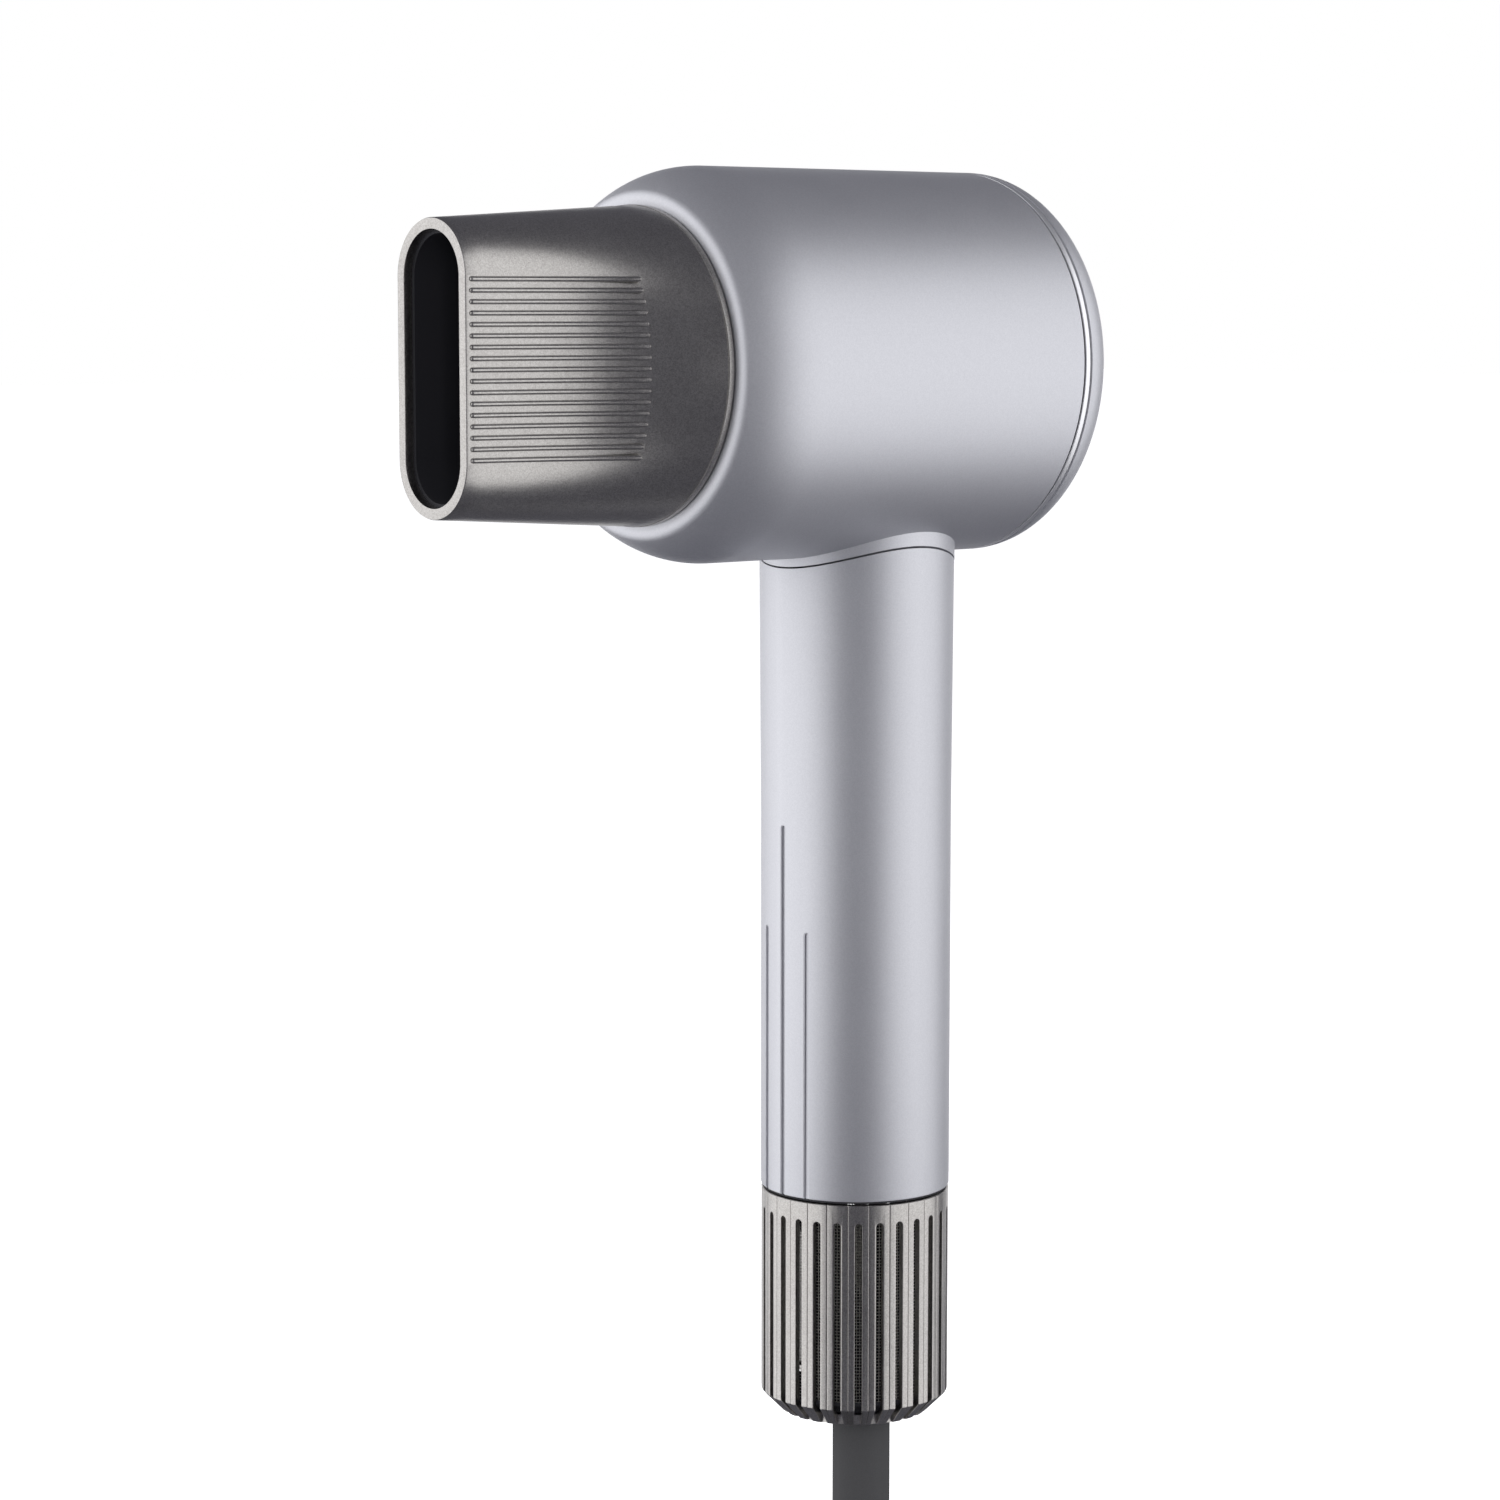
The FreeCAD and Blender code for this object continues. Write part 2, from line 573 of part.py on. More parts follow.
def intake_frame():
    """Fixed frame under the handle: it shows as the dark seam line and carries the cord."""
    top = handle_ring("intake_top", "handle_bottom", -54.6, "motor_radius + 0.2", f"{BORE} - 0.05")
    notch = block("intake_notch", (5, 5.4, 8), -17.9, -2.7, -60.5)
    seam = handle_ring("intake_seam", "handle_bottom - 0.35", "handle_bottom", 13.6, "grip_radius - 0.35")
    legs = spokes("intake_leg", 6, (2.4, 2.2, "handle_bottom - frame_foot"), 12.4, "frame_foot", 30)
    base = rod("intake_base", 14.4, 2, z="frame_foot")
    socket = rod("intake_socket", 9.2, "-92.4 - frame_foot", "cord_shift", 0, "frame_foot")
    bore = rod("intake_bore", "boot_radius + 0.05", 30, "cord_shift", 0, -110)
    seat = rod("intake_seat", 7.6, 6, "cord_shift", 0, -98)
    pockets = [rod(f"magnet_pocket_{number}", 1.85, 1.6, *polar(11.4, angle), "frame_foot - 0.1")
               for number, angle in enumerate(spoke_angles(4, 90))]
    frame = joined("intake_blank", [top, seam, base, socket] + legs)
    keep(cut("intake_frame", frame, [notch, bore, seat] + pockets))
    magnets = [rod(f"cage_magnet_{number}", 1.8, 1.4, *polar(11.4, angle), "frame_foot")
               for number, angle in enumerate(spoke_angles(4, 90))]
    keep(grouped("cage_magnets", magnets))


def filter_cage():
    """Slotted cup that pulls off downwards: its slots run through the chamfered foot."""
    foot = "cage_radius - cage_chamfer"
    inner = "cage_radius - cage_wall"
    low_wall = "cage_bottom + cage_chamfer"
    cage = turned("filter_cage", [
        (inner, "cage_top"), (inner, f"{low_wall} + 0.5"), (f"{foot} - 0.9", "cage_bottom + 1.5"),
        (9, "cage_bottom + 1.5"), (9, "cage_bottom"), (foot, "cage_bottom"),
        ("cage_radius", low_wall), ("cage_radius", "cage_top")])
    sketch = add_sketch(cage, "slot_outline", "XZ_Plane", "cage_radius - cage_chamfer - 0.4")
    half = "slot_width / 2"
    draw_outline(sketch, [(f"-{half}", "cage_bottom - 2"), (half, "cage_bottom - 2"),
                          (half, "slot_top", half), (f"-{half}", "slot_top")])
    doc.recompute()
    before = cage.Shape.Volume
    slot = cage.newObject("PartDesign::Pocket", "slot")
    slot.Profile = sketch
    slot.Length = 8
    slot.Reversed = True
    doc.recompute()
    assert cage.Shape.Volume < before - 10, "the slot must cut the cage's wall"
    ring = cage.newObject("PartDesign::PolarPattern", "slot_ring")
    ring.Originals = [slot]
    ring.Axis = (origin_axis(cage, "Z_Axis"), [""])
    ring.Angle = 360
    ring.Occurrences = SLOTS
    cage.Tip = ring
    keep(cage)


def origin_axis(body, role):
    """Return one of a body's own origin axes."""
    return next(item for item in body.Origin.OriginFeatures if item.Role == role)


def filter_parts():
    """Woven mesh sleeve, its two end rings and the plate that the magnets hold."""
    inner = "cage_radius - cage_wall"
    keep(handle_ring("filter_mesh", -101.2, -62.2, f"{inner} - 0.75", f"{inner} - 0.45"))
    rings = [handle_ring("mesh_ring_top", -62.2, -60.4, f"{inner} - 0.9", f"{inner} - 0.02"),
             handle_ring("mesh_ring_low", -101.9, -101.2, f"{inner} - 0.9", f"{inner} - 0.02")]
    keep(grouped("mesh_rings", rings))
    keep(handle_ring("keeper_plate", "cage_bottom + 1.5", "cage_bottom + 1.8", 9.4, 13.4))


# Cord ---------------------------------------------------------------------------------------

def cord_entry():
    """Boot with its inner flange, the clamp above it and the clamp's screws."""
    boot = turned("strain_relief", [
        ("cord_radius", -96), ("cord_radius", "boot_end"), ("cord_radius + 0.9", "boot_end"),
        ("boot_radius", "boot_straight"), ("boot_radius", -98), (7.4, -98), (7.4, -96)])
    put(boot, x="cord_shift")
    keep(boot)
    bar = block("clamp_bar", (11, 20, 2.6), "cord_shift - 5.5", -10, -92.4)
    keep(cut("cord_clamp", bar, [rod("clamp_way", "cord_radius + 0.05", 9, "cord_shift", 0, -95)]))
    return [rod(f"clamp_screw_{number}", 0.6, 4.6, "cord_shift", side, -93.6)
            for number, side in enumerate((-8.4, 8.4))]


def cord_and_plug():
    """Cord from the boot to the tied hank, its tail, and a two-pin plug."""
    keep(rod("cord_core", "cord_radius", 62, "cord_shift", 0, "boot_end"))
    keep(rod("cord_lead", "cord_radius", "boot_end - hank_top + hank_half", "cord_shift", 0,
             "hank_top - hank_half"))
    centre = "cord_shift + cord_radius - hank_half"
    low = "hank_top - hank_height"
    keep(cut("cord_hank", stadium("hank_outer", "hank_half", "hank_depth", centre, low, "hank_height", 0),
             [stadium("hank_middle", "hank_hole", "hank_depth + 2", centre, low, "hank_height",
                      "hank_half - hank_hole")]))
    outer = block("tie_outer", ("2 * hank_half + 2.4", "hank_depth + 2.4", 12),
                  f"{centre} - hank_half - 1.2", "-hank_depth / 2 - 1.2", f"{low} + hank_height / 2 - 6")
    inner = block("tie_inner", ("2 * hank_half", "hank_depth", 14),
                  f"{centre} - hank_half", "-hank_depth / 2", f"{low} + hank_height / 2 - 7")
    keep(cut("cord_tie", outer, [inner]))
    keep(rod("cord_tail", "cord_radius", f"{low} + hank_half - tail_end", "cord_shift", 0, "tail_end"))


def stadium(name, half, depth, centre, low, height, inset):
    """Upright slab with round ends, set in from the hank's outside by an inset."""
    bottom = f"{low} + {inset} + {half}"
    rise = f"{height} - 2 * ({inset}) - 2 * ({half})"
    back = f"-({depth}) / 2"
    ends = [rod(f"{name}_end_{number}", half, depth, centre, back, at, ALONG_Y)
            for number, at in enumerate((bottom, f"{bottom} + {rise}"))]
    middle = block(f"{name}_slab", (f"2 * ({half})", depth, rise), f"{centre} - ({half})", back, bottom)
    return joined(name, [middle] + ends)


def plug():
    """Slim two-pin plug with round pins."""
    body = turned("plug_body", [
        (0, "tail_end"), (5, "tail_end"), (6.5, "tail_end - 16"), (8.4, "tail_end - 24"),
        (8.4, "tail_end - 36"), (0, "tail_end - 36")])
    put(body, x="cord_shift")
    wide = block("plug_face", (26, 12, 10), "cord_shift - 13", -6, "tail_end - 36")
    keep(joined("plug_case", [body, wide]))
    pins = []
    for number, side in enumerate((-1, 1)):
        at = f"cord_shift + {side * PIN_SPACING / 2}"
        shank = rod(f"pin_shank_{number}", 2.4, 17.6, at, 0, "tail_end - 53.6")
        tip = put(make("Part::Sphere", f"pin_tip_{number}", Radius=2.4), at, 0, "tail_end - 53.6")
        pins.append(joined(f"pin_{number}", [shank, tip]))
    keep(grouped("plug_pins", pins))


# Nozzle -------------------------------------------------------------------------------------

NOZZLE_LENGTH = "(nozzle_base - flange_width - nozzle_tip)"
NOZZLE_STATIONS = (0.0, 0.2, 0.4, 0.6, 0.74, 0.87, 1.0)
FLARE = 3
RIB_START = 0.02
RIB_END = 0.765
RIB_CURVE = 0.00012
RIB_PROUD = 0.07
TIP_OVERRUN = -0.04


def nozzle_side(station):
    """Formula of the outside's half width; station runs from 0 at the tip to 1."""
    return (f"(tip_half_width + nozzle_lean * {station} + (flange_radius - 0.3 - tip_half_width"
            f" - nozzle_lean) * {max(station, 0) ** FLARE})")


def nozzle_section(body, name, station, inset, base_inset):
    """One upright stadium across the nozzle, set in from its outside."""
    shrink = f"({inset} + ({base_inset} - {inset}) * {max(station, 0) ** FLARE})"
    half_width = f"({nozzle_side(station)} - {shrink})"
    half_height = f"(tip_half_height + (flange_radius - 0.1 - tip_half_height) * {station} - {shrink})"
    sketch = add_sketch(body, name, "YZ_Plane", f"nozzle_tip + {NOZZLE_LENGTH} * {station}")
    rise = f"({half_height} - {half_width})"
    draw_outline(sketch, [(half_width, f"-{rise}"), (half_width, rise, half_width),
                          (f"-{half_width}", rise), (f"-{half_width}", f"-{rise}", half_width)])
    return sketch


def nozzle_loft(name, inset, base_inset, stations=NOZZLE_STATIONS):
    """Solid that runs from the narrow slot at the tip to the round base."""
    body = put(make("PartDesign::Body", name), z="head_height")
    sections = [nozzle_section(body, f"{name}_section_{number}", station, inset, base_inset)
                for number, station in enumerate(stations)]
    loft = body.newObject("PartDesign::AdditiveLoft", name + "_loft")
    loft.Profile = sections[0]
    loft.Sections = sections[1:]
    loft.Ruled = True
    return body


def nozzle_ribs():
    """Fine raised ribs on both flat sides, each along the flare."""
    ribs = []
    for side in (-1, 1):
        for number in range(NOZZLE_RIBS):
            up = (number - (NOZZLE_RIBS - 1) / 2) * value("rib_pitch")
            stations = (RIB_START, *NOZZLE_STATIONS[1:4], RIB_END - RIB_CURVE * up * up)
            points = [(value(f"nozzle_tip + {NOZZLE_LENGTH} * {station}"),
                       side * (value(nozzle_side(station)) + RIB_PROUD),
                       value("head_height") + up) for station in stations]
            rib = doc.addObject("Part::Feature", f"rib_{'left' if side < 0 else 'right'}_{number}")
            rib.Shape = tube_along(points, value("rib_radius"))
            ribs.append(rib)
    return ribs


def nozzle():
    """Concentrator nozzle: shell with flange and ribs, black liner and steel seat ring."""
    outside = nozzle_loft("nozzle_outside", "0", "0")
    inside = nozzle_loft("nozzle_inside", "nozzle_wall", "(flange_radius - 0.3 - throat_radius)",
                         (TIP_OVERRUN,) + NOZZLE_STATIONS[1:])
    flange = barrel_ring("nozzle_flange", "nozzle_base - flange_width", "nozzle_base",
                         "throat_radius - 1", "flange_radius")
    throat = rod("nozzle_throat", "throat_radius + 0.4", 8, "nozzle_base - flange_width - 0.2", 0,
                 "head_height", ALONG_X)
    seat = barrel_ring("ring_seat", "nozzle_base - 0.95", "nozzle_base + 1", "throat_radius - 1", 27.9)
    shell = joined("nozzle_blank", [outside, flange] + nozzle_ribs())
    keep(cut("nozzle_shell", shell, [inside, throat, seat]))
    keep(barrel_ring("nozzle_seat_ring", "nozzle_base - 0.9", "nozzle_base", 25.1, 27.85))
    liner = nozzle_loft("liner_outside", "nozzle_wall + 0.02",
                        "(flange_radius - 0.3 - throat_radius + 0.02)", NOZZLE_STATIONS[:-1])
    hollow = nozzle_loft("liner_inside", "nozzle_wall + 0.8",
                         "(flange_radius - 0.3 - throat_radius + 0.8)",
                         (TIP_OVERRUN,) + NOZZLE_STATIONS[1:])
    front = block("liner_front", (8, 60, 80), "nozzle_tip - 6", -30, "head_height - 40")
    keep(cut("nozzle_liner", liner, [hollow, front]))


# Fasteners and wires ------------------------------------------------------------------------

def handle_screws():
    """Two screws that fix the intake frame in the foot of the handle, from inside."""
    screws = []
    for number, side in enumerate((-1, 1)):
        turn = Rotation(Vector(1, 0, 0), -90 * side)
        screws.append(rod(f"frame_screw_{number}", 0.9, 1.3, 0, side * 15.9, -57, turn))
    return screws


def supply_wires():
    """Wires from the cord up past the motor to the main board, and on to the heater."""
    back = SIZES["cord_shift"]
    up = [[(back, side, -89.7), (back - 2, side, -82), (-12, side, -70), (-16.6, side, -58),
           (-16.6, side, -14), (-10, side, -11.5), (-6.5, side, -9.4)] for side in (-1.2, 1.2)]
    wires("supply_wires", up, 0.8)
    on = [[(-2.2, side, 45.1), (-1.6, side, 56), (-3, side, 72), (-10, side, 84), (-20.9, side, 90)]
          for side in (-7, 7)]
    wires("heater_wires", on, 0.9)


def check_document():
    """Stop if any object failed or any piece has no valid shape."""
    doc.recompute()
    for item in doc.Objects:
        if "Invalid" in item.State or "Error" in item.State:
            raise RuntimeError(f"{item.Name}: {item.State}")
    for item in subparts:
        if item.Shape.isNull() or not item.Shape.isValid() or not item.Shape.Solids:
            raise RuntimeError(f"{item.Label} has no valid shape")


def write_parts():
    """Write each piece to a STEP file with its own name."""
    os.makedirs("parts", exist_ok=True)
    for item in subparts:
        item.Shape.exportStep(f"parts/{item.Label}.step")
        box = item.Shape.BoundBox
        print(f"{item.Label:20s} solids {len(item.Shape.Solids):2d} volume {item.Shape.Volume:9.1f}"
              f"  x {box.XMin:7.2f} {box.XMax:7.2f}  y {box.YMin:7.2f} {box.YMax:7.2f}"
              f"  z {box.ZMin:7.2f} {box.ZMax:7.2f}")
    print(len(subparts), "pieces")


def build():
    """Make every piece of the dryer, check it and write it."""
    fill_sheet()
    for section in (head_shell, rear_end, outlet, air_duct, heater, ion_parts, head_screws,
                    handle_tube, neck_sleeve, chassis, main_board, control_panel, buttons,
                    power_slider, motor_housing, motor_core, impeller, motor_mounts,
                    intake_frame, filter_cage, filter_parts, cord_and_plug, plug, nozzle,
                    supply_wires):
        section()
    keep(grouped("inner_screws", cord_entry() + handle_screws()))
    check_document()
    write_parts()


build()
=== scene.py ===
"""Looks of a cylindrical hair dryer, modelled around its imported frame.

Sizes are in millimetres, in the frame's own axes: the nozzle points along -X, +Z is up and the
handle's axis is X = Y = 0. Meshes are drawn in metres, each at its own place in the frame.
"""
import json
import logging
import math

from dataclasses import dataclass
from enum import Enum
from typing import Callable, Sequence

import bmesh
import bpy
from mathutils import Matrix, Vector


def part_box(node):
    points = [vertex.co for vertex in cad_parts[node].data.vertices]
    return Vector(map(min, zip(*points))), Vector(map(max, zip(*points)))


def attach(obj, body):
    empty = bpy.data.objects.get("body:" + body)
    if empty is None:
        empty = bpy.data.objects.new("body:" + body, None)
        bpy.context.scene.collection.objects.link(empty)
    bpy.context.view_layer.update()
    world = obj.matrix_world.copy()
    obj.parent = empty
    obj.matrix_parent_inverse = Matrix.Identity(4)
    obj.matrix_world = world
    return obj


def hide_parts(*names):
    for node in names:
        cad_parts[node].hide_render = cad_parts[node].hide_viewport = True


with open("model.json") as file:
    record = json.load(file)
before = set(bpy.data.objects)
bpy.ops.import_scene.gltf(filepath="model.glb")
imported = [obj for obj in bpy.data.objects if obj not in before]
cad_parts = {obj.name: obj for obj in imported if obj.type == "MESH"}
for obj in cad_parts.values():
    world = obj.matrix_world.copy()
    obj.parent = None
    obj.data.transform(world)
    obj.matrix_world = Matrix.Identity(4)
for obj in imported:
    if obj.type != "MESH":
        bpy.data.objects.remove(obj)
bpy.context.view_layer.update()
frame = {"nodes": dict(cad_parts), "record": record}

LOG = logging.getLogger("hair_dryer")
MM = 0.001
WELD = 2e-6
CLOUD_SIZE = 18.0
CLOUD_SHARE = 0.3
Point = tuple[float, float]
Corner = tuple[float, float, float]
Piece = bpy.types.Object
Socket = bpy.types.NodeSocket
Tree = bpy.types.NodeTree
Element = bmesh.types.BMVert | bmesh.types.BMEdge | bmesh.types.BMFace


# Hand tools ---------------------------------------------------------------------------------


class Axis(Enum):
    """The axis that a ring or a turned piece stands on."""

    BARREL = "x"
    UPRIGHT = "z"

    @property
    def direction(self) -> Vector:
        """Unit vector along the axis."""
        return Vector((1, 0, 0)) if self is Axis.BARREL else Vector((0, 0, 1))

    @property
    def tilt(self) -> tuple[float, float, float]:
        """Euler turn that lays a new round primitive across the axis."""
        return (0.0, math.pi / 2, 0.0) if self is Axis.BARREL else (0.0, 0.0, 0.0)

    @property
    def side(self) -> Vector:
        """Direction in which a turned outline's radius is drawn, and rings are stretched."""
        return Vector((0, 0, 1)) if self is Axis.BARREL else Vector((1, 0, 0))


class Carve(Enum):
    """How a tool changes the piece that it is put through."""

    CUT = "DIFFERENCE"
    JOIN = "UNION"
    SHARE = "INTERSECT"


def mm(*numbers: float) -> Vector:
    """Return a point or step given in millimetres as a vector in metres."""
    return Vector(numbers) * MM


def put_down() -> None:
    """Leave edit mode and deselect every object."""
    if bpy.context.object is not None and bpy.context.object.mode == "EDIT":
        bpy.ops.object.mode_set(mode="OBJECT")
    bpy.ops.object.select_all(action="DESELECT")


def take(piece: Piece, edit: bool = False) -> Piece:
    """Make a piece the only selected one.

    Args:
        piece: The piece to work on.
        edit: Whether edit mode is entered as well.

    Returns:
        The same piece.
    """
    put_down()
    piece.select_set(True)
    bpy.context.view_layer.objects.active = piece
    if edit:
        bpy.ops.object.mode_set(mode="EDIT")
    return piece


def named(name: str) -> Piece:
    """Give the newest primitive a name and put its place into its mesh."""
    piece = bpy.context.object
    piece.name = piece.data.name = name
    bpy.ops.object.transform_apply(location=True, rotation=True, scale=True)
    return piece


def pick(kind: str, wanted: Callable[[Element], bool]) -> None:
    """Select the points, edges or faces of the mesh being edited that a rule wants.

    Args:
        kind: VERT, EDGE or FACE.
        wanted: The rule.
    """
    bpy.ops.mesh.select_mode(type=kind)
    bpy.ops.mesh.select_all(action="DESELECT")
    shape = bmesh.from_edit_mesh(bpy.context.object.data)
    for element in {"VERT": shape.verts, "EDGE": shape.edges, "FACE": shape.faces}[kind]:
        element.select_set(wanted(element))
    if kind == "VERT":
        shape.select_flush(True)
    bmesh.update_edit_mesh(bpy.context.object.data)


def apply_modifier(piece: Piece, kind: str, **settings: object) -> Piece:
    """Add a modifier to a piece, set it up and apply it.

    Args:
        piece: The piece to change.
        kind: The modifier's type.
        settings: Its settings, by name.

    Returns:
        The changed piece.
    """
    take(piece)
    bpy.ops.object.modifier_add(type=kind)
    modifier = piece.modifiers[-1]
    for name, value in settings.items():
        setattr(modifier, name, value)
    bpy.ops.object.modifier_apply(modifier=modifier.name)
    return piece


def close_up() -> None:
    """Merge doubled points, point every face outwards and leave edit mode."""
    bpy.ops.mesh.select_mode(type="VERT")
    bpy.ops.mesh.select_all(action="SELECT")
    bpy.ops.mesh.remove_doubles(threshold=WELD)
    bpy.ops.mesh.normals_make_consistent(inside=False)
    bpy.ops.object.mode_set(mode="OBJECT")


def draw_line(name: str, points: Sequence[Vector]) -> Piece:
    """Draw a line of edges by extruding one corner after another.

    Args:
        name: Name of the new piece.
        points: Corners of the line, in metres.

    Returns:
        The new piece, still in edit mode.
    """
    put_down()
    bpy.ops.mesh.primitive_plane_add(size=MM, location=points[0])
    piece = named(name)
    bpy.ops.object.mode_set(mode="EDIT")
    bpy.ops.mesh.select_all(action="SELECT")
    bpy.ops.mesh.merge(type="CENTER")
    for start, end in zip(points, points[1:]):
        bpy.ops.mesh.extrude_region_move(TRANSFORM_OT_translate={"value": tuple(end - start)})
    return piece


def eased(corners: Sequence[Corner], steps: int = 4) -> list[Point]:
    """Round the corners of a closed outline.

    Args:
        corners: Each corner's two coordinates and its rounding radius.
        steps: Straight pieces in each rounding.

    Returns:
        The outline's points, in order.
    """
    outline = []
    for number, (along, out, radius) in enumerate(corners):
        here = Vector((along, out))
        before = Vector(corners[number - 1][:2]) - here
        after = Vector(corners[(number + 1) % len(corners)][:2]) - here
        half_turn = before.angle(after) / 2
        if radius <= 0 or half_turn > math.pi / 2 - 1e-3:
            outline.append(tuple(here))
            continue
        reach = radius / math.tan(half_turn)
        middle = here + (before.normalized() + after.normalized()).normalized() * (
            radius / math.sin(half_turn))
        first = here + before.normalized() * reach - middle
        last = here + after.normalized() * reach - middle
        sweep = first.angle_signed(last)
        for step in range(steps + 1):
            outline.append(tuple(middle + Matrix.Rotation(-sweep * step / steps, 2) @ first))
    return outline


def arc(centre: Point, radius: float, start: float, end: float, steps: int) -> list[Point]:
    """Return points on an arc between two angles in degrees."""
    angles = [math.radians(start + (end - start) * step / steps) for step in range(steps + 1)]
    return [(centre[0] + radius * math.cos(a), centre[1] + radius * math.sin(a)) for a in angles]


def turned(name: str, outline: Sequence[Point], axis: Axis, centre: Vector, sides: int) -> Piece:
    """Turn a closed outline about an axis, as on a lathe.

    Args:
        name: Name of the new piece.
        outline: Points (along the axis, out from it), in millimetres.
        axis: The axis that it is turned about.
        centre: A point on that axis, in metres, from which the outline is measured.
        sides: Number of steps in the full turn.

    Returns:
        The closed piece.
    """
    closing = outline[:1] if outline[0][1] > 0 or outline[-1][1] > 0 else []
    points = [centre + axis.direction * along * MM + axis.side * out * MM
              for along, out in [*outline, *closing]]
    piece = draw_line(name, points)
    bpy.ops.mesh.select_all(action="SELECT")
    bpy.ops.mesh.remove_doubles(threshold=WELD)
    bpy.ops.mesh.select_all(action="SELECT")
    bpy.ops.mesh.spin(steps=sides, angle=math.tau, center=centre, axis=axis.direction)
    close_up()
    return piece


def pushed_out(name: str, outline: Sequence[Vector], step: Vector) -> Piece:
    """Fill a closed outline and extrude it by one step.

    Args:
        name: Name of the new piece.
        outline: Corners of the outline, in metres.
        step: The extrusion, in metres.

    Returns:
        The closed piece.
    """
    piece = draw_line(name, [*outline, outline[0]])
    bpy.ops.mesh.select_all(action="SELECT")
    bpy.ops.mesh.edge_face_add()
    bpy.ops.mesh.extrude_region_move(TRANSFORM_OT_translate={"value": tuple(step)})
    close_up()
    return piece


def carve(piece: Piece, tool: Piece, how: Carve = Carve.CUT) -> Piece:
    """Put a tool through a piece and throw the tool away.

    Args:
        piece: The piece to change.
        tool: A closed shape that overlaps it.
        how: Whether the tool is cut out, joined on or kept in common.

    Returns:
        The changed piece.
    """
    apply_modifier(piece, "BOOLEAN", operation=how.value, solver="EXACT", object=tool)
    bpy.data.meshes.remove(tool.data)
    return piece


def soften(piece: Piece, width: float, segments: int = 2, sharper_than: float = 40.0) -> Piece:
    """Bevel a piece's sharp edges.

    Args:
        piece: The piece to change.
        width: Width of the bevel in millimetres.
        segments: Number of strips across it.
        sharper_than: Smallest angle in degrees between the faces of a bevelled edge.

    Returns:
        The changed piece.
    """
    return apply_modifier(piece, "BEVEL", width=width * MM, segments=segments,
                          limit_method="ANGLE", angle_limit=math.radians(sharper_than))


def joined(pieces: Sequence[Piece]) -> Piece:
    """Join several closed shapes into the first of them."""
    put_down()
    for piece in pieces:
        piece.select_set(True)
    bpy.context.view_layer.objects.active = pieces[0]
    bpy.ops.object.join()
    return pieces[0]


@dataclass(frozen=True)
class Ring:
    """One round-ended section of a lofted piece.

    Attributes:
        at: Place along the loft's axis, in millimetres.
        short: Half of the narrow width, which is the radius of its round ends.
        long: Half of the long width.
    """

    at: float
    short: float
    long: float


def lofted(name: str, rings: Sequence[Ring], axis: Axis, centre: Vector, sides: int,
           looped: bool) -> Piece:
    """Bridge a row of round-ended sections into one skin.

    Each section is a circle whose two halves are moved apart.

    Args:
        name: Name of the new piece.
        rings: The sections in order.
        axis: The axis that they stand on.
        centre: A point on that axis, in metres, from which the rings are measured.
        sides: Points in each section.
        looped: Whether the last section is bridged to the first. Otherwise both are filled.

    Returns:
        The closed piece.
    """
    put_down()
    for number, ring in enumerate(rings):
        place = centre + axis.direction * ring.at * MM
        bpy.ops.mesh.primitive_circle_add(
            vertices=sides, radius=ring.short * MM, location=place, rotation=axis.tilt)
        if number == 0:
            piece = named(name)
            bpy.ops.object.mode_set(mode="EDIT")
        first = number * sides
        for way in (1, -1):
            pick("VERT", lambda vert: vert.index >= first and
                 way * (vert.co - place).dot(axis.side) > WELD)
            step = axis.side * way * (ring.long - ring.short) * MM
            bpy.ops.transform.translate(value=tuple(step))
    pairs = [(number, number + 1) for number in range(len(rings) - 1)]
    if looped:
        pairs.append((len(rings) - 1, 0))
    for pair in pairs:
        pick("VERT", lambda vert: vert.index // sides in pair)
        bpy.ops.mesh.bridge_edge_loops()
    if not looped:
        for end in (0, len(rings) - 1):
            pick("VERT", lambda vert: vert.index // sides == end)
            bpy.ops.mesh.edge_face_add()
    close_up()
    return piece


# Finishes -----------------------------------------------------------------------------------


def plug_in(tree: Tree, node: bpy.types.Node, inputs: dict) -> None:
    """Set a node's inputs: a socket is linked, anything else is its value."""
    for name, value in inputs.items():
        if isinstance(value, Socket):
            tree.links.new(value, node.inputs[name])
        else:
            node.inputs[name].default_value = value


def add_node(tree: Tree, kind: str, output: str, inputs: dict, **settings: object) -> Socket:
    """Add a shader node, set it up and return one of its outputs.

    Args:
        tree: The material's or the world's nodes.
        kind: The node's type, without its prefix.
        output: Name of the output.
        inputs: Sockets to link or values to set, by the input's name or number.
        settings: The node's own settings, by name.

    Returns:
        The output.
    """
    node = tree.nodes.new("ShaderNode" + kind)
    for name, value in settings.items():
        setattr(node, name, value)
    plug_in(tree, node, inputs)
    return node.outputs[output]


class Grain(Enum):
    """The fine structure of a surface."""

    FLAKE = "metal flakes under a satin lacquer"
    MOULDED = "spark-eroded grain of moulded plastic"
    BRUSHED = "fine lines along one direction"
    WOVEN = "cloth weave"
    MOTTLED = "soft patches"


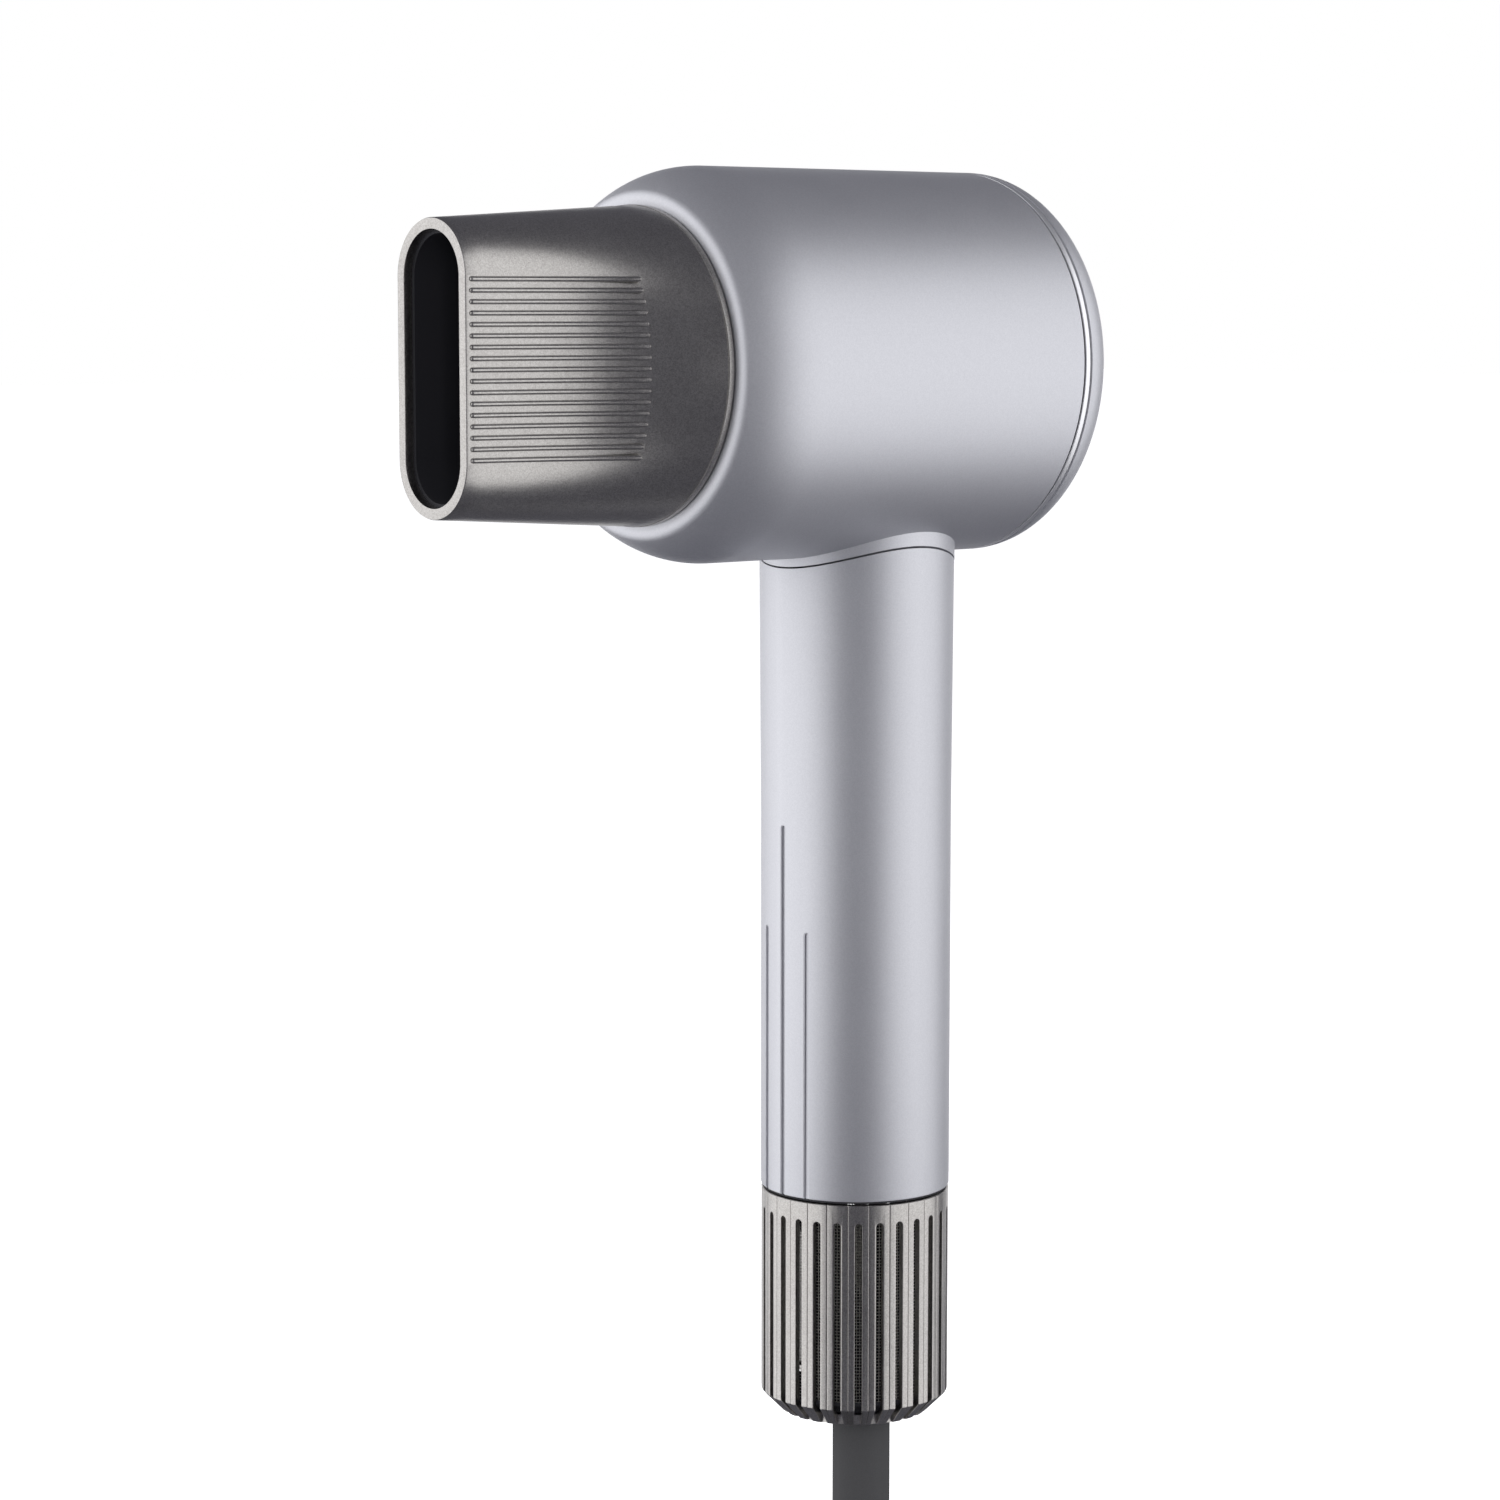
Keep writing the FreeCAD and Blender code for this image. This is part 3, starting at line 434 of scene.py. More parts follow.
@dataclass(frozen=True)
class Finish:
    """One finish of the dryer, made into a node material on demand.

    Attributes:
        name: Name of the material.
        colour: Base colour, linear.
        other: Second colour, which the grain mixes in.
        metallic: Metallic share.
        roughness: Middle roughness.
        spread: How far the grain moves the roughness either way.
        grain: Kind of fine structure.
        fine: Size of the fine structure in millimetres.
        bump: Height of the fine structure in millimetres.
        coat: Weight of a clear coat.
        shine: Specular level.
        glow: Strength of an own light, for lenses.
    """

    name: str
    colour: tuple[float, float, float]
    other: tuple[float, float, float]
    metallic: float
    roughness: float
    spread: float
    grain: Grain
    fine: float
    bump: float
    coat: float = 0.0
    glow: float = 0.0
    shine: float = 0.5

    def material(self) -> bpy.types.Material:
        """Return the finish's node material, made the first time it is asked for."""
        made = bpy.data.materials.get(self.name)
        if made is not None:
            return made
        made = bpy.data.materials.new(self.name)
        made.use_nodes = True
        tree = made.node_tree
        fine = self.fine_pattern(tree)
        cloud = self.noise(tree, CLOUD_SIZE, 2.0)
        settings = {
            "Metallic": self.metallic, "Coat Weight": self.coat, "Coat Roughness": 0.25,
            "Specular IOR Level": self.shine, "Base Color": self.tint(tree, fine, cloud),
            "Roughness": self.dullness(tree, fine, cloud), "Normal": self.relief(tree, fine)}
        if self.glow:
            settings["Emission Color"] = (*self.colour, 1)
            settings["Emission Strength"] = self.glow
        plug_in(tree, tree.nodes["Principled BSDF"], settings)
        return made

    def place(self, tree: Tree, stretch: Sequence[float]) -> Socket:
        """Return the object's own coordinates, stretched for lines."""
        coords = add_node(tree, "TexCoord", "Object", {})
        return add_node(tree, "Mapping", "Vector", {"Scale": stretch, "Vector": coords})

    def noise(self, tree: Tree, size: float, detail: float,
              stretch: Sequence[float] = (1, 1, 1)) -> Socket:
        """Return a noise from 0 to 1 whose features are a size in millimetres."""
        return add_node(tree, "TexNoise", "Fac", {
            "Scale": 1 / (size * MM), "Detail": detail, "Vector": self.place(tree, stretch)})

    def fine_pattern(self, tree: Tree) -> Socket:
        """Return the fine structure as a number from 0 to 1."""
        if self.grain is Grain.FLAKE:
            flakes = add_node(tree, "TexVoronoi", "Color", {
                "Scale": 1 / (self.fine * MM), "Vector": self.place(tree, (1, 1, 1))})
            return add_node(tree, "RGBToBW", "Val", {"Color": flakes})
        if self.grain is Grain.WOVEN:
            waves = [add_node(tree, "TexWave", "Fac", {
                "Scale": 1 / (self.fine * MM * math.tau), "Distortion": 0.6,
                "Vector": self.place(tree, stretch)}) for stretch in ((1, 0, 0), (0, 0, 1))]
            return add_node(tree, "Math", "Value", {0: waves[0], 1: waves[1]},
                            operation="MULTIPLY")
        stretch = (0.03, 1, 1) if self.grain is Grain.BRUSHED else (1, 1, 1)
        detail = 3.0 if self.grain is Grain.MOTTLED else 1.0
        return self.noise(tree, self.fine, detail, stretch)

    def tint(self, tree: Tree, fine: Socket, cloud: Socket) -> Socket:
        """Return the colour: the fine structure mixed with slow patches."""
        scaled = add_node(tree, "Math", "Value", {0: fine, 1: 1 - CLOUD_SHARE},
                          operation="MULTIPLY")
        share = add_node(tree, "Math", "Value", {0: cloud, 1: CLOUD_SHARE, 2: scaled},
                         operation="MULTIPLY_ADD")
        return add_node(tree, "Mix", "Result", {
            "A": (*self.colour, 1), "B": (*self.other, 1), "Factor": share}, data_type="RGBA")

    def dullness(self, tree: Tree, fine: Socket, cloud: Socket) -> Socket:
        """Return the roughness: its middle, moved by the grain and by handling marks."""
        both = add_node(tree, "Math", "Value", {0: fine, 1: cloud}, operation="ADD")
        return add_node(tree, "MapRange", "Result", {
            "From Max": 2.0, "To Min": max(0.02, self.roughness - self.spread),
            "To Max": min(1.0, self.roughness + self.spread), "Value": both})

    def relief(self, tree: Tree, fine: Socket) -> Socket:
        """Return the normal, raised by the fine structure."""
        return add_node(tree, "Bump", "Normal", {
            "Strength": 1.0, "Distance": self.bump * MM, "Height": fine})


SILVER_PAINT = Finish("silver_paint", (0.535, 0.54, 0.572), (0.635, 0.64, 0.67), 0.85, 0.53, 0.05,
                      Grain.FLAKE, 0.22, 0.0022)
GUNMETAL_PAINT = Finish("gunmetal_paint", (0.27, 0.258, 0.245), (0.54, 0.526, 0.508), 1.0, 0.33,
                        0.07, Grain.FLAKE, 0.20, 0.004)
TRIM_METAL = Finish("trim_metal", (0.62, 0.63, 0.65), (0.72, 0.73, 0.75), 1.0, 0.30, 0.06,
                    Grain.BRUSHED, 0.15, 0.001)
BLACK_PLASTIC = Finish("black_plastic", (0.012, 0.012, 0.013), (0.028, 0.027, 0.027), 0.0, 0.5,
                       0.1, Grain.MOULDED, 0.3, 0.01)
RUBBER = Finish("boot_rubber", (0.06, 0.06, 0.062), (0.082, 0.082, 0.085), 0.0, 0.8, 0.08,
                Grain.MOULDED, 0.25, 0.006, shine=0.08)
CORD_SKIN = Finish("cord_skin", (0.048, 0.048, 0.05), (0.064, 0.064, 0.067), 0.0, 0.66, 0.08,
                   Grain.MOULDED, 0.4, 0.008, shine=0.3)
STEEL = Finish("satin_steel", (0.45, 0.45, 0.46), (0.6, 0.6, 0.61), 1.0, 0.32, 0.08,
               Grain.BRUSHED, 0.2, 0.002)
MESH_STEEL = Finish("mesh_steel", (0.36, 0.33, 0.28), (0.5, 0.47, 0.42), 1.0, 0.28, 0.08,
                    Grain.MOTTLED, 0.4, 0.002)
NICKEL = Finish("nickel_plate", (0.6, 0.58, 0.54), (0.7, 0.68, 0.64), 1.0, 0.18, 0.05,
                Grain.MOTTLED, 2.0, 0.001)
MICA = Finish("mica_sheet", (0.5, 0.4, 0.25), (0.68, 0.58, 0.4), 0.1, 0.35, 0.12,
              Grain.MOTTLED, 2.5, 0.01)
HEATING_WIRE = Finish("heating_wire", (0.3, 0.27, 0.25), (0.45, 0.38, 0.33), 1.0, 0.42, 0.1,
                      Grain.MOTTLED, 1.2, 0.002)
BOARD = Finish("circuit_board", (0.012, 0.09, 0.045), (0.02, 0.13, 0.065), 0.0, 0.35, 0.1,
               Grain.MOTTLED, 3.0, 0.004)
BOARD_PARTS = Finish("board_parts", (0.03, 0.03, 0.035), (0.06, 0.06, 0.07), 0.0, 0.4, 0.1,
                     Grain.MOULDED, 0.5, 0.004)
BUTTON_METAL = Finish("button_metal", (0.5, 0.51, 0.55), (0.62, 0.63, 0.67), 1.0, 0.28, 0.06,
                      Grain.BRUSHED, 0.12, 0.001)
LENS = Finish("lens", (0.75, 0.82, 0.9), (0.85, 0.9, 0.95), 0.0, 0.25, 0.05,
              Grain.MOTTLED, 0.6, 0.001, 0.5, 0.15)
# Painted shade: the inner wires get a near-black skin so that they read as shade through the cage's
# slots; their own insulation is red.
WIRES_IN_PAINTED_SHADE = Finish("wires_in_painted_shade", (0.03, 0.03, 0.032), (0.05, 0.05, 0.053), 0.0, 0.4, 0.08,
                   Grain.MOULDED, 0.5, 0.002)
TIE_CLOTH = Finish("tie_cloth", (0.012, 0.012, 0.014), (0.035, 0.035, 0.04), 0.0, 0.85, 0.1,
                   Grain.WOVEN, 0.35, 0.06)

SLOT_FINISHES = {
    "body_paint": SILVER_PAINT, "trim_metal": TRIM_METAL, "gunmetal": GUNMETAL_PAINT,
    "black_plastic": BLACK_PLASTIC, "rubber": RUBBER, "steel": STEEL, "mesh_steel": MESH_STEEL,
    "magnet": NICKEL, "mica": MICA, "heating_wire": HEATING_WIRE, "board": BOARD,
    "board_parts": BOARD_PARTS, "button_metal": BUTTON_METAL, "lens": LENS, "wire": WIRES_IN_PAINTED_SHADE,
    "cord": CORD_SKIN, "tie": TIE_CLOTH, "plug_metal": NICKEL,
}


def fit(piece: Piece, body: str, slot: str, *nodes: str, smooth: float = 32.0) -> Piece:
    """Smooth and paint a finished piece and set it on its body.

    Args:
        piece: The piece, in place.
        body: The body that it moves with.
        slot: The record's material slot, which also chooses its finish.
        nodes: The frame's nodes that it stands for.
        smooth: Edges sharper than this many degrees stay sharp.

    Returns:
        The same piece.
    """
    if piece.type == "MESH":
        take(piece)
        bpy.ops.object.shade_smooth_by_angle(angle=math.radians(smooth))
    piece.data.materials.clear()
    piece.data.materials.append(SLOT_FINISHES[slot].material())
    put_down()
    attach(piece, body)
    if nodes:
        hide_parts(*nodes)
    LOG.info("%s rides on %s", piece.name, body)
    return piece


# Stage --------------------------------------------------------------------------------------


@dataclass
class Studio:
    """Camera, pale floor and soft light."""

    eye: tuple[float, float, float] = (-516.6, -593.8, 123.2)
    aim: tuple[float, float, float] = (0.63096, 0.76706, -0.11624)
    lens: float = 92.75
    floor_level: float = -400.0
    floor_size: float = 40.0
    light_reach: float = 1.5

    def set_camera(self) -> None:
        """Put the camera at its viewing angle."""
        data = bpy.data.cameras.new("camera")
        data.lens = self.lens
        data.clip_start = 0.01
        camera = bpy.data.objects.new("camera", data)
        bpy.context.scene.collection.objects.link(camera)
        camera.location = mm(*self.eye)
        camera.rotation_mode = "QUATERNION"
        camera.rotation_quaternion = Vector(self.aim).to_track_quat("-Z", "Y")
        bpy.context.scene.camera = camera

    def lay_floor(self) -> None:
        """Lay a pale floor whose own glow is painted weaker near the dryer, as painted shade, and
        brightens into the backdrop away from it.
        """
        put_down()
        bpy.ops.mesh.primitive_plane_add(size=self.floor_size, location=mm(0, 0, self.floor_level))
        floor = named("floor")
        floor.visible_glossy = False
        floor.visible_diffuse = False
        paper = bpy.data.materials.new("floor_paper")
        paper.use_nodes = True
        tree = paper.node_tree
        place = add_node(tree, "TexCoord", "Object", {})
        reach = add_node(tree, "VectorMath", "Value", {0: place}, operation="LENGTH")
        # Painted shade: the floor's own glow is weaker the closer it lies to the dryer, and rises
        # to full strength further out into the backdrop.
        painted_shade_glow = add_node(tree, "MapRange", "Result", {
            "From Min": 0.25, "From Max": 0.85, "To Min": 0.45, "To Max": 1.0, "Value": reach})
        plug_in(tree, tree.nodes["Principled BSDF"], {
            "Base Color": (0.8, 0.8, 0.8, 1), "Roughness": 0.9,
            "Emission Color": (1, 1, 1, 1), "Emission Strength": painted_shade_glow})
        floor.data.materials.append(paper)

    def hang_light(self, name: str, azimuth: float, rise: float, size: Point,
                   watts: float) -> Piece:
        """Hang one soft box that faces the dryer.

        Args:
            name: Name of the light.
            rise: Degrees above the horizon.
            size: Width and height in metres.
            watts: Power.

        Returns:
            The light.
        """
        data = bpy.data.lights.new(name, "AREA")
        data.shape = "RECTANGLE"
        data.size, data.size_y = size
        data.energy = watts
        around, up = math.radians(azimuth), math.radians(rise)
        out = Vector((math.sin(around) * math.cos(up), -math.cos(around) * math.cos(up),
                      math.sin(up)))
        light = bpy.data.objects.new(name, data)
        light.location = out * self.light_reach
        light.rotation_mode = "QUATERNION"
        light.rotation_quaternion = (-out).to_track_quat("-Z", "Y")
        light.visible_camera = False
        bpy.context.scene.collection.objects.link(light)
        return light

    def light_room(self) -> None:
        """Light the dryer from both sides in a dim room with a white backdrop."""
        self.hang_light("right_box", 36, 3, (2.7, 2.9), 33)
        self.hang_light("left_box", -125, 3, (3.8, 3.3), 58)
        self.hang_light("back_box", 140, 0, (2.2, 1.2), 8)
        self.hang_light("front_fill", -39, 12, (0.6, 0.6), 8).visible_glossy = False
        world = bpy.data.worlds.new("room")
        world.use_nodes = True
        tree = world.node_tree
        room = tree.nodes["Background"]
        room.inputs["Color"].default_value = (0.85, 0.85, 1.0, 1)
        room.inputs["Strength"].default_value = 0.16
        backdrop = add_node(tree, "Background", "Background", {
            "Color": (1, 1, 1, 1), "Strength": 1.0})
        seen = add_node(tree, "LightPath", "Is Camera Ray", {})
        mix = add_node(tree, "MixShader", "Shader", {
            "Fac": seen, 1: room.outputs["Background"], 2: backdrop})
        tree.links.new(mix, tree.nodes["World Output"].inputs["Surface"])
        bpy.context.scene.world = world
        bpy.context.scene.view_settings.view_transform = "Standard"


# Cord ---------------------------------------------------------------------------------------


@dataclass
class MainsLead:
    """The cord, folded into a tied hank below the handle, with its tie and plug."""

    side: float = 2.0
    radius: float = 3.75
    exit_level: float = -152.0
    hank_middle: float = -28.0
    top_centre: float = -205.75
    low_centre: float = -296.25
    outer: float = 30.0
    inner: float = 22.5
    layer: float = 7.5
    corner_angle: float = 30.0
    tail_end: float = -342.0
    length: float = 1.9
    tie_wall: float = 1.2

    def loop_point(self, reach: float, degrees: float, depth: float) -> Vector:
        """Return a route point on a fold's circle, set out so that the line keeps its size."""
        out = reach / math.cos(math.radians(self.corner_angle / 2))
        angle = math.radians(degrees)
        centre = self.top_centre if math.sin(angle) > 0 else self.low_centre
        return mm(self.hank_middle + out * math.cos(angle), depth, centre + out * math.sin(angle))

    def turn(self, reach: float, depth: float, next_reach: float, next_depth: float,
             change: float) -> list[Vector]:
        """Return the route points of one turn, from the right side down, left, up and back.

        Args:
            reach: Half width of the turn.
            depth: Its layer, measured along Y.
            next_reach: Half width that it leaves with.
            next_depth: Layer that it leaves in.
            change: Where it changes over, in degrees on the upper fold, or above 180 on the
                straight side before it.
        """
        points = []
        for step in range(6):
            points.append(self.loop_point(reach, -15 - self.corner_angle * step, depth))
        for level, mark in ((self.low_centre + 16, 240), (self.top_centre - 16, 210)):
            wide, deep = (next_reach, next_depth) if mark < change else (reach, depth)
            points.append(mm(self.hank_middle - wide, deep, level))
        for step in range(6):
            degrees = 165 - self.corner_angle * step
            wide, deep = (next_reach, next_depth) if degrees < change else (reach, depth)
            points.append(self.loop_point(wide, degrees, deep))
        for level in (self.top_centre - 16, self.low_centre + 16):
            points.append(mm(self.hank_middle + next_reach, next_depth, level))
        return points

    def route(self) -> list[Vector]:
        """Return the whole route: out of the boot, round the hank and down to the plug."""
        points = [mm(self.side, 0, level) for level in
                  (self.exit_level, self.exit_level - 24, self.top_centre,
                   self.top_centre - 45, self.low_centre + 16)]
        turns = [
            (self.outer, 0, self.outer, self.layer, 90),
            (self.outer, self.layer, self.inner, self.layer, 120),
            (self.inner, self.layer, self.inner, 0, 150),
            (self.inner, 0, self.inner, -self.layer, 180),
            (self.inner, -self.layer, self.outer, -self.layer, 215),
        ]
        for reach, depth, next_reach, next_depth, change in turns:
            points += self.turn(reach, depth, next_reach, next_depth, change)
        points += [mm(self.side, -self.layer, self.low_centre - 4),
                   mm(self.side, -self.layer * 0.6, self.low_centre - 18),
                   mm(self.side, -self.layer * 0.1, self.low_centre - 33),
                   mm(self.side, 0, self.tail_end)]
        return points

    def lay_cord(self) -> Piece:
        """Lay the cord along its route as one smooth line with a round section."""
        points = self.route()
        data = bpy.data.curves.new("mains_cord", "CURVE")
        data.dimensions = "3D"
        spline = data.splines.new("NURBS")
        spline.points.add(len(points) - 1)
        for spot, point in zip(spline.points, points):
            spot.co = (*point, 1)
        spline.order_u = 3
        spline.use_endpoint_u = True
        spline.resolution_u = 6
        data.bevel_depth = self.radius * MM
        data.bevel_resolution = 5
        data.use_fill_caps = True
        cord = bpy.data.objects.new("mains_cord", data)
        bpy.context.scene.collection.objects.link(cord)
        return fit(cord, "dryer", "cord", "cord_lead", "cord_hank", "cord_tail")

    def strap(self) -> Piece:
        """Wrap the hook-and-loop tie round the middle of the hank."""
        low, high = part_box("cord_tie")
        wide, deep = (high.x - low.x) / MM / 2, (high.y - low.y) / MM / 2
        middle = (low.x + high.x) / MM / 2
        outline = eased([(-wide, -deep, 5), (wide, -deep, 5), (wide, deep, 5), (-wide, deep, 5)], 6)
        corners = [mm(middle + along, out, low.z / MM) for along, out in outline]
        tie = draw_line("cord_tie_strap", [*corners, corners[0]])
        bpy.ops.mesh.select_all(action="SELECT")
        bpy.ops.mesh.remove_doubles(threshold=WELD)
        bpy.ops.mesh.select_all(action="SELECT")
        for _ in range(4):
            rise = (0, 0, (high.z - low.z) / 4)
            bpy.ops.mesh.extrude_region_move(TRANSFORM_OT_translate={"value": rise})
        close_up()
        apply_modifier(tie, "SOLIDIFY", thickness=self.tie_wall * MM, offset=-1)
        flap = pushed_out("cord_tie_flap", [
            mm(middle - 24, -deep - 0.05, low.z / MM + 0.3),
            mm(middle + 12, -deep - 0.05, low.z / MM + 0.3),
            mm(middle + 16, -deep - 0.05, low.z / MM + 3),
            mm(middle + 16, -deep - 0.05, high.z / MM - 3),
            mm(middle + 12, -deep - 0.05, high.z / MM - 0.3),
            mm(middle - 24, -deep - 0.05, high.z / MM - 0.3)], mm(0, -1.1, 0))
        return soften(joined([tie, flap]), 0.3, 2, 50)

    def plug_body(self) -> Piece:
        """Model the plug's moulded case with its finger grooves."""
        rings = [(0, 4.6, 4.6), (0.4, 5.0, 5.0), (7, 5.6, 5.7), (8, 5.1, 5.2), (9.4, 5.1, 5.2),
                 (10.4, 5.9, 6.1), (12, 6.1, 6.3), (13, 5.6, 5.8), (14.4, 5.6, 5.8),
                 (15.4, 6.5, 6.8), (18, 7.2, 8.2), (21, 7.9, 10.2), (24, 8.3, 12.0),
                 (27, 8.4, 12.9), (35.2, 8.4, 13.0), (35.8, 8.1, 12.7), (36, 7.6, 12.2)]
        centre = mm(self.side, 0, self.tail_end)
        sections = [Ring(-down, short, wide) for down, short, wide in rings]
        return lofted("plug_body", sections, Axis.UPRIGHT, centre, 64, False)

    def pins(self) -> Piece:
        """Turn the two round pins with their insulated necks."""
        made = []
        for number, way in enumerate((-1, 1)):
            centre = mm(self.side + way * 9.5, 0, self.tail_end - 36)
            outline = [(0, 0), (0, 2.4), (-17.6, 2.4), *arc((-17.6, 0), 2.4, 90, 180, 6)[1:]]
            made.append(turned(f"plug_pin_{number}", outline, Axis.UPRIGHT, centre, 32))
        return joined(made)

    def build(self) -> None:
        cord = self.lay_cord()
        tie = fit(self.strap(), "dryer", "tie", "cord_tie")
        plug = fit(self.plug_body(), "dryer", "cord", "plug_case")
        pins = fit(self.pins(), "dryer", "plug_metal", "plug_pins")


@dataclass
class Boot:
    """The strain relief under the filter cage."""

    side: float = 2.0
    bore: float = 3.8
    radius: float = 6.0
    low_radius: float = 4.65
    top: float = -96.0
    straight_end: float = -130.0
    end: float = -152.0
    grooves: int = 4

    def build(self) -> None:
        """Turn the boot: flange, smooth straight part and grooved taper."""
        outline = [(self.top, self.bore), (self.top, 7.4), (-98.0, 7.4), (-98.0, self.radius),
                   (self.straight_end, self.radius)]
        pitch = (self.end - self.straight_end) / (self.grooves + 1)
        for number in range(self.grooves):
            level = self.straight_end + pitch * (number + 0.7)
            share = (level - self.straight_end) / (self.end - self.straight_end)
            out = self.radius + (self.low_radius - self.radius) * share
            outline += [(level + 0.9, out + 0.05), (level + 0.5, out - 0.7),
                        (level - 0.5, out - 0.7), (level - 0.9, out - 0.05)]
        outline += [(self.end + 0.5, self.low_radius), (self.end, self.low_radius - 0.5),
                    (self.end, self.bore)]
        boot = turned("strain_relief_boot", outline, Axis.UPRIGHT, mm(self.side, 0, 0), 72)
        fit(boot, "dryer", "rubber", "strain_relief", smooth=50)


# Head ---------------------------------------------------------------------------------------


@dataclass
class Head:
    """The barrel with its collar, the trim ring and the closed rear cover."""

    radius: float = 38.75
    wall: float = 2.0
    front: float = -57.0
    mouth: float = 28.2
    bend: float = 23.3
    bend_start: float = -41.7
    edge: float = 3.0
    rear: float = 26.5
    ring: Point = (26.8, 28.0)
    cover_front: float = 28.3
    face: float = 36.0
    rear_bend: float = 7.5
    neck: float = 19.9
    drop: float = 2.4
    turn: float = 2.3
    sides: int = 256

    @property
    def centre(self) -> Vector:
        """Point on the barrel's axis above the origin."""
        low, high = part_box("rear_cover")
        return Vector((0, 0, (low.z + high.z) / 2))

    def coping(self, name: str, drop: float) -> Piece:
        """Return the cylinder that trims the neck, turned a little off the barrel's axis."""
        outline = [(-90, 0), (-90, self.radius + drop), (90, self.radius + drop), (90, 0)]
        tool = turned(name, outline, Axis.BARREL, Vector(), self.sides)
        take(tool)
        bpy.ops.transform.rotate(value=math.radians(-self.turn), orient_axis="Y",
                                 center_override=(0, 0, 0))
        bpy.ops.transform.translate(value=tuple(self.centre))
        bpy.ops.object.transform_apply(location=True, rotation=True, scale=True)
        return tool

    def nose(self) -> list[Point]:
        """Return the outside of the rounded nose, from the straight barrel to the front face."""
        middle = self.radius - self.bend
        run = self.bend_start - self.front - self.edge
        rise = math.sqrt((self.bend - self.edge) ** 2 - run ** 2)
        meet = math.degrees(math.atan2(rise, -run))
        large = arc((self.bend_start, middle), self.bend, 90, meet, 20)
        small = arc((self.front + self.edge, middle + rise), self.edge, meet, 180, 10)
        return [*large, *small[1:]]

    def shell(self) -> Piece:
        """Turn the barrel and join the collar that meets the handle."""
        rim = math.degrees(math.acos((self.bend_start - self.front - 2.2)
                                     / (self.bend - self.wall)))
        inner = arc((self.bend_start, self.radius - self.bend), self.bend - self.wall,
                    180 - rim, 90, 12)
        straight = [(self.bend_start + (self.rear - self.bend_start) * step / 12, self.radius)
                    for step in range(1, 12)]
        outline = [(self.front + 2.2, self.mouth), (self.front + 0.3, self.mouth),
                   (self.front, self.mouth + 0.3), *reversed(self.nose()), *straight,
                   (self.rear - 0.25, self.radius), (self.rear, self.radius - 0.25),
                   (self.rear, self.radius - self.wall),
                   (self.bend_start, self.radius - self.wall), *reversed(inner[:-1])]
        barrel = turned("head_barrel", outline, Axis.BARREL, self.centre, self.sides)
        collar = turned("collar", [(60, 0), (60, self.neck), (84, self.neck), (84, 0)],
                        Axis.UPRIGHT, Vector(), 160)
        carve(collar, self.coping("coping", self.drop), Carve.SHARE)
        carve(barrel, collar, Carve.JOIN)
        way = turned("way", [(50, 0), (50, self.neck - 2), (110, self.neck - 2), (110, 0)],
                     Axis.UPRIGHT, Vector(), 96)
        return carve(barrel, way)

    def cover(self) -> Piece:
        """Turn the rear cover with its rounded edge and one fine line round its flat face."""
        shoulder, flat = self.radius - self.rear_bend - 1, self.radius - self.rear_bend
        line = flat - 6.4
        return turned("rear_cover_cap", [
            (self.face - 2, 0), (self.face - 2, shoulder), (self.cover_front, shoulder),
            (self.cover_front, self.radius - 0.25), (self.cover_front + 0.25, self.radius),
            *arc((self.face - self.rear_bend, flat), self.rear_bend, 90, 0, 16),
            (self.face, line + 0.55), (self.face - 0.25, line + 0.3),
            (self.face - 0.25, line - 0.3), (self.face, line - 0.55), (self.face, 0)],
            Axis.BARREL, self.centre, self.sides)

    def build(self) -> None:
        """Make the head's four outer pieces."""
        fit(self.shell(), "dryer", "body_paint", "head_shell", smooth=24)
        start, end = self.ring
        band = eased([(start, self.radius - 0.6, 0), (end, self.radius - 0.6, 0),
                      (end, self.radius, 0.15), (start, self.radius, 0.15)])
        ring = turned("trim_ring", band, Axis.BARREL, self.centre, self.sides)
        fit(ring, "dryer", "trim_metal", "rear_trim_ring")
        low, high = self.radius - 4, self.radius - 0.6
        gasket = turned("gasket", [(self.rear, low), (self.cover_front, low),
                                   (self.cover_front, high), (self.rear, high)],
                        Axis.BARREL, self.centre, self.sides)
        fit(gasket, "dryer", "black_plastic", "rear_gasket")
        fit(self.cover(), "dryer", "body_paint", "rear_cover", smooth=24)


# Handle -------------------------------------------------------------------------------------


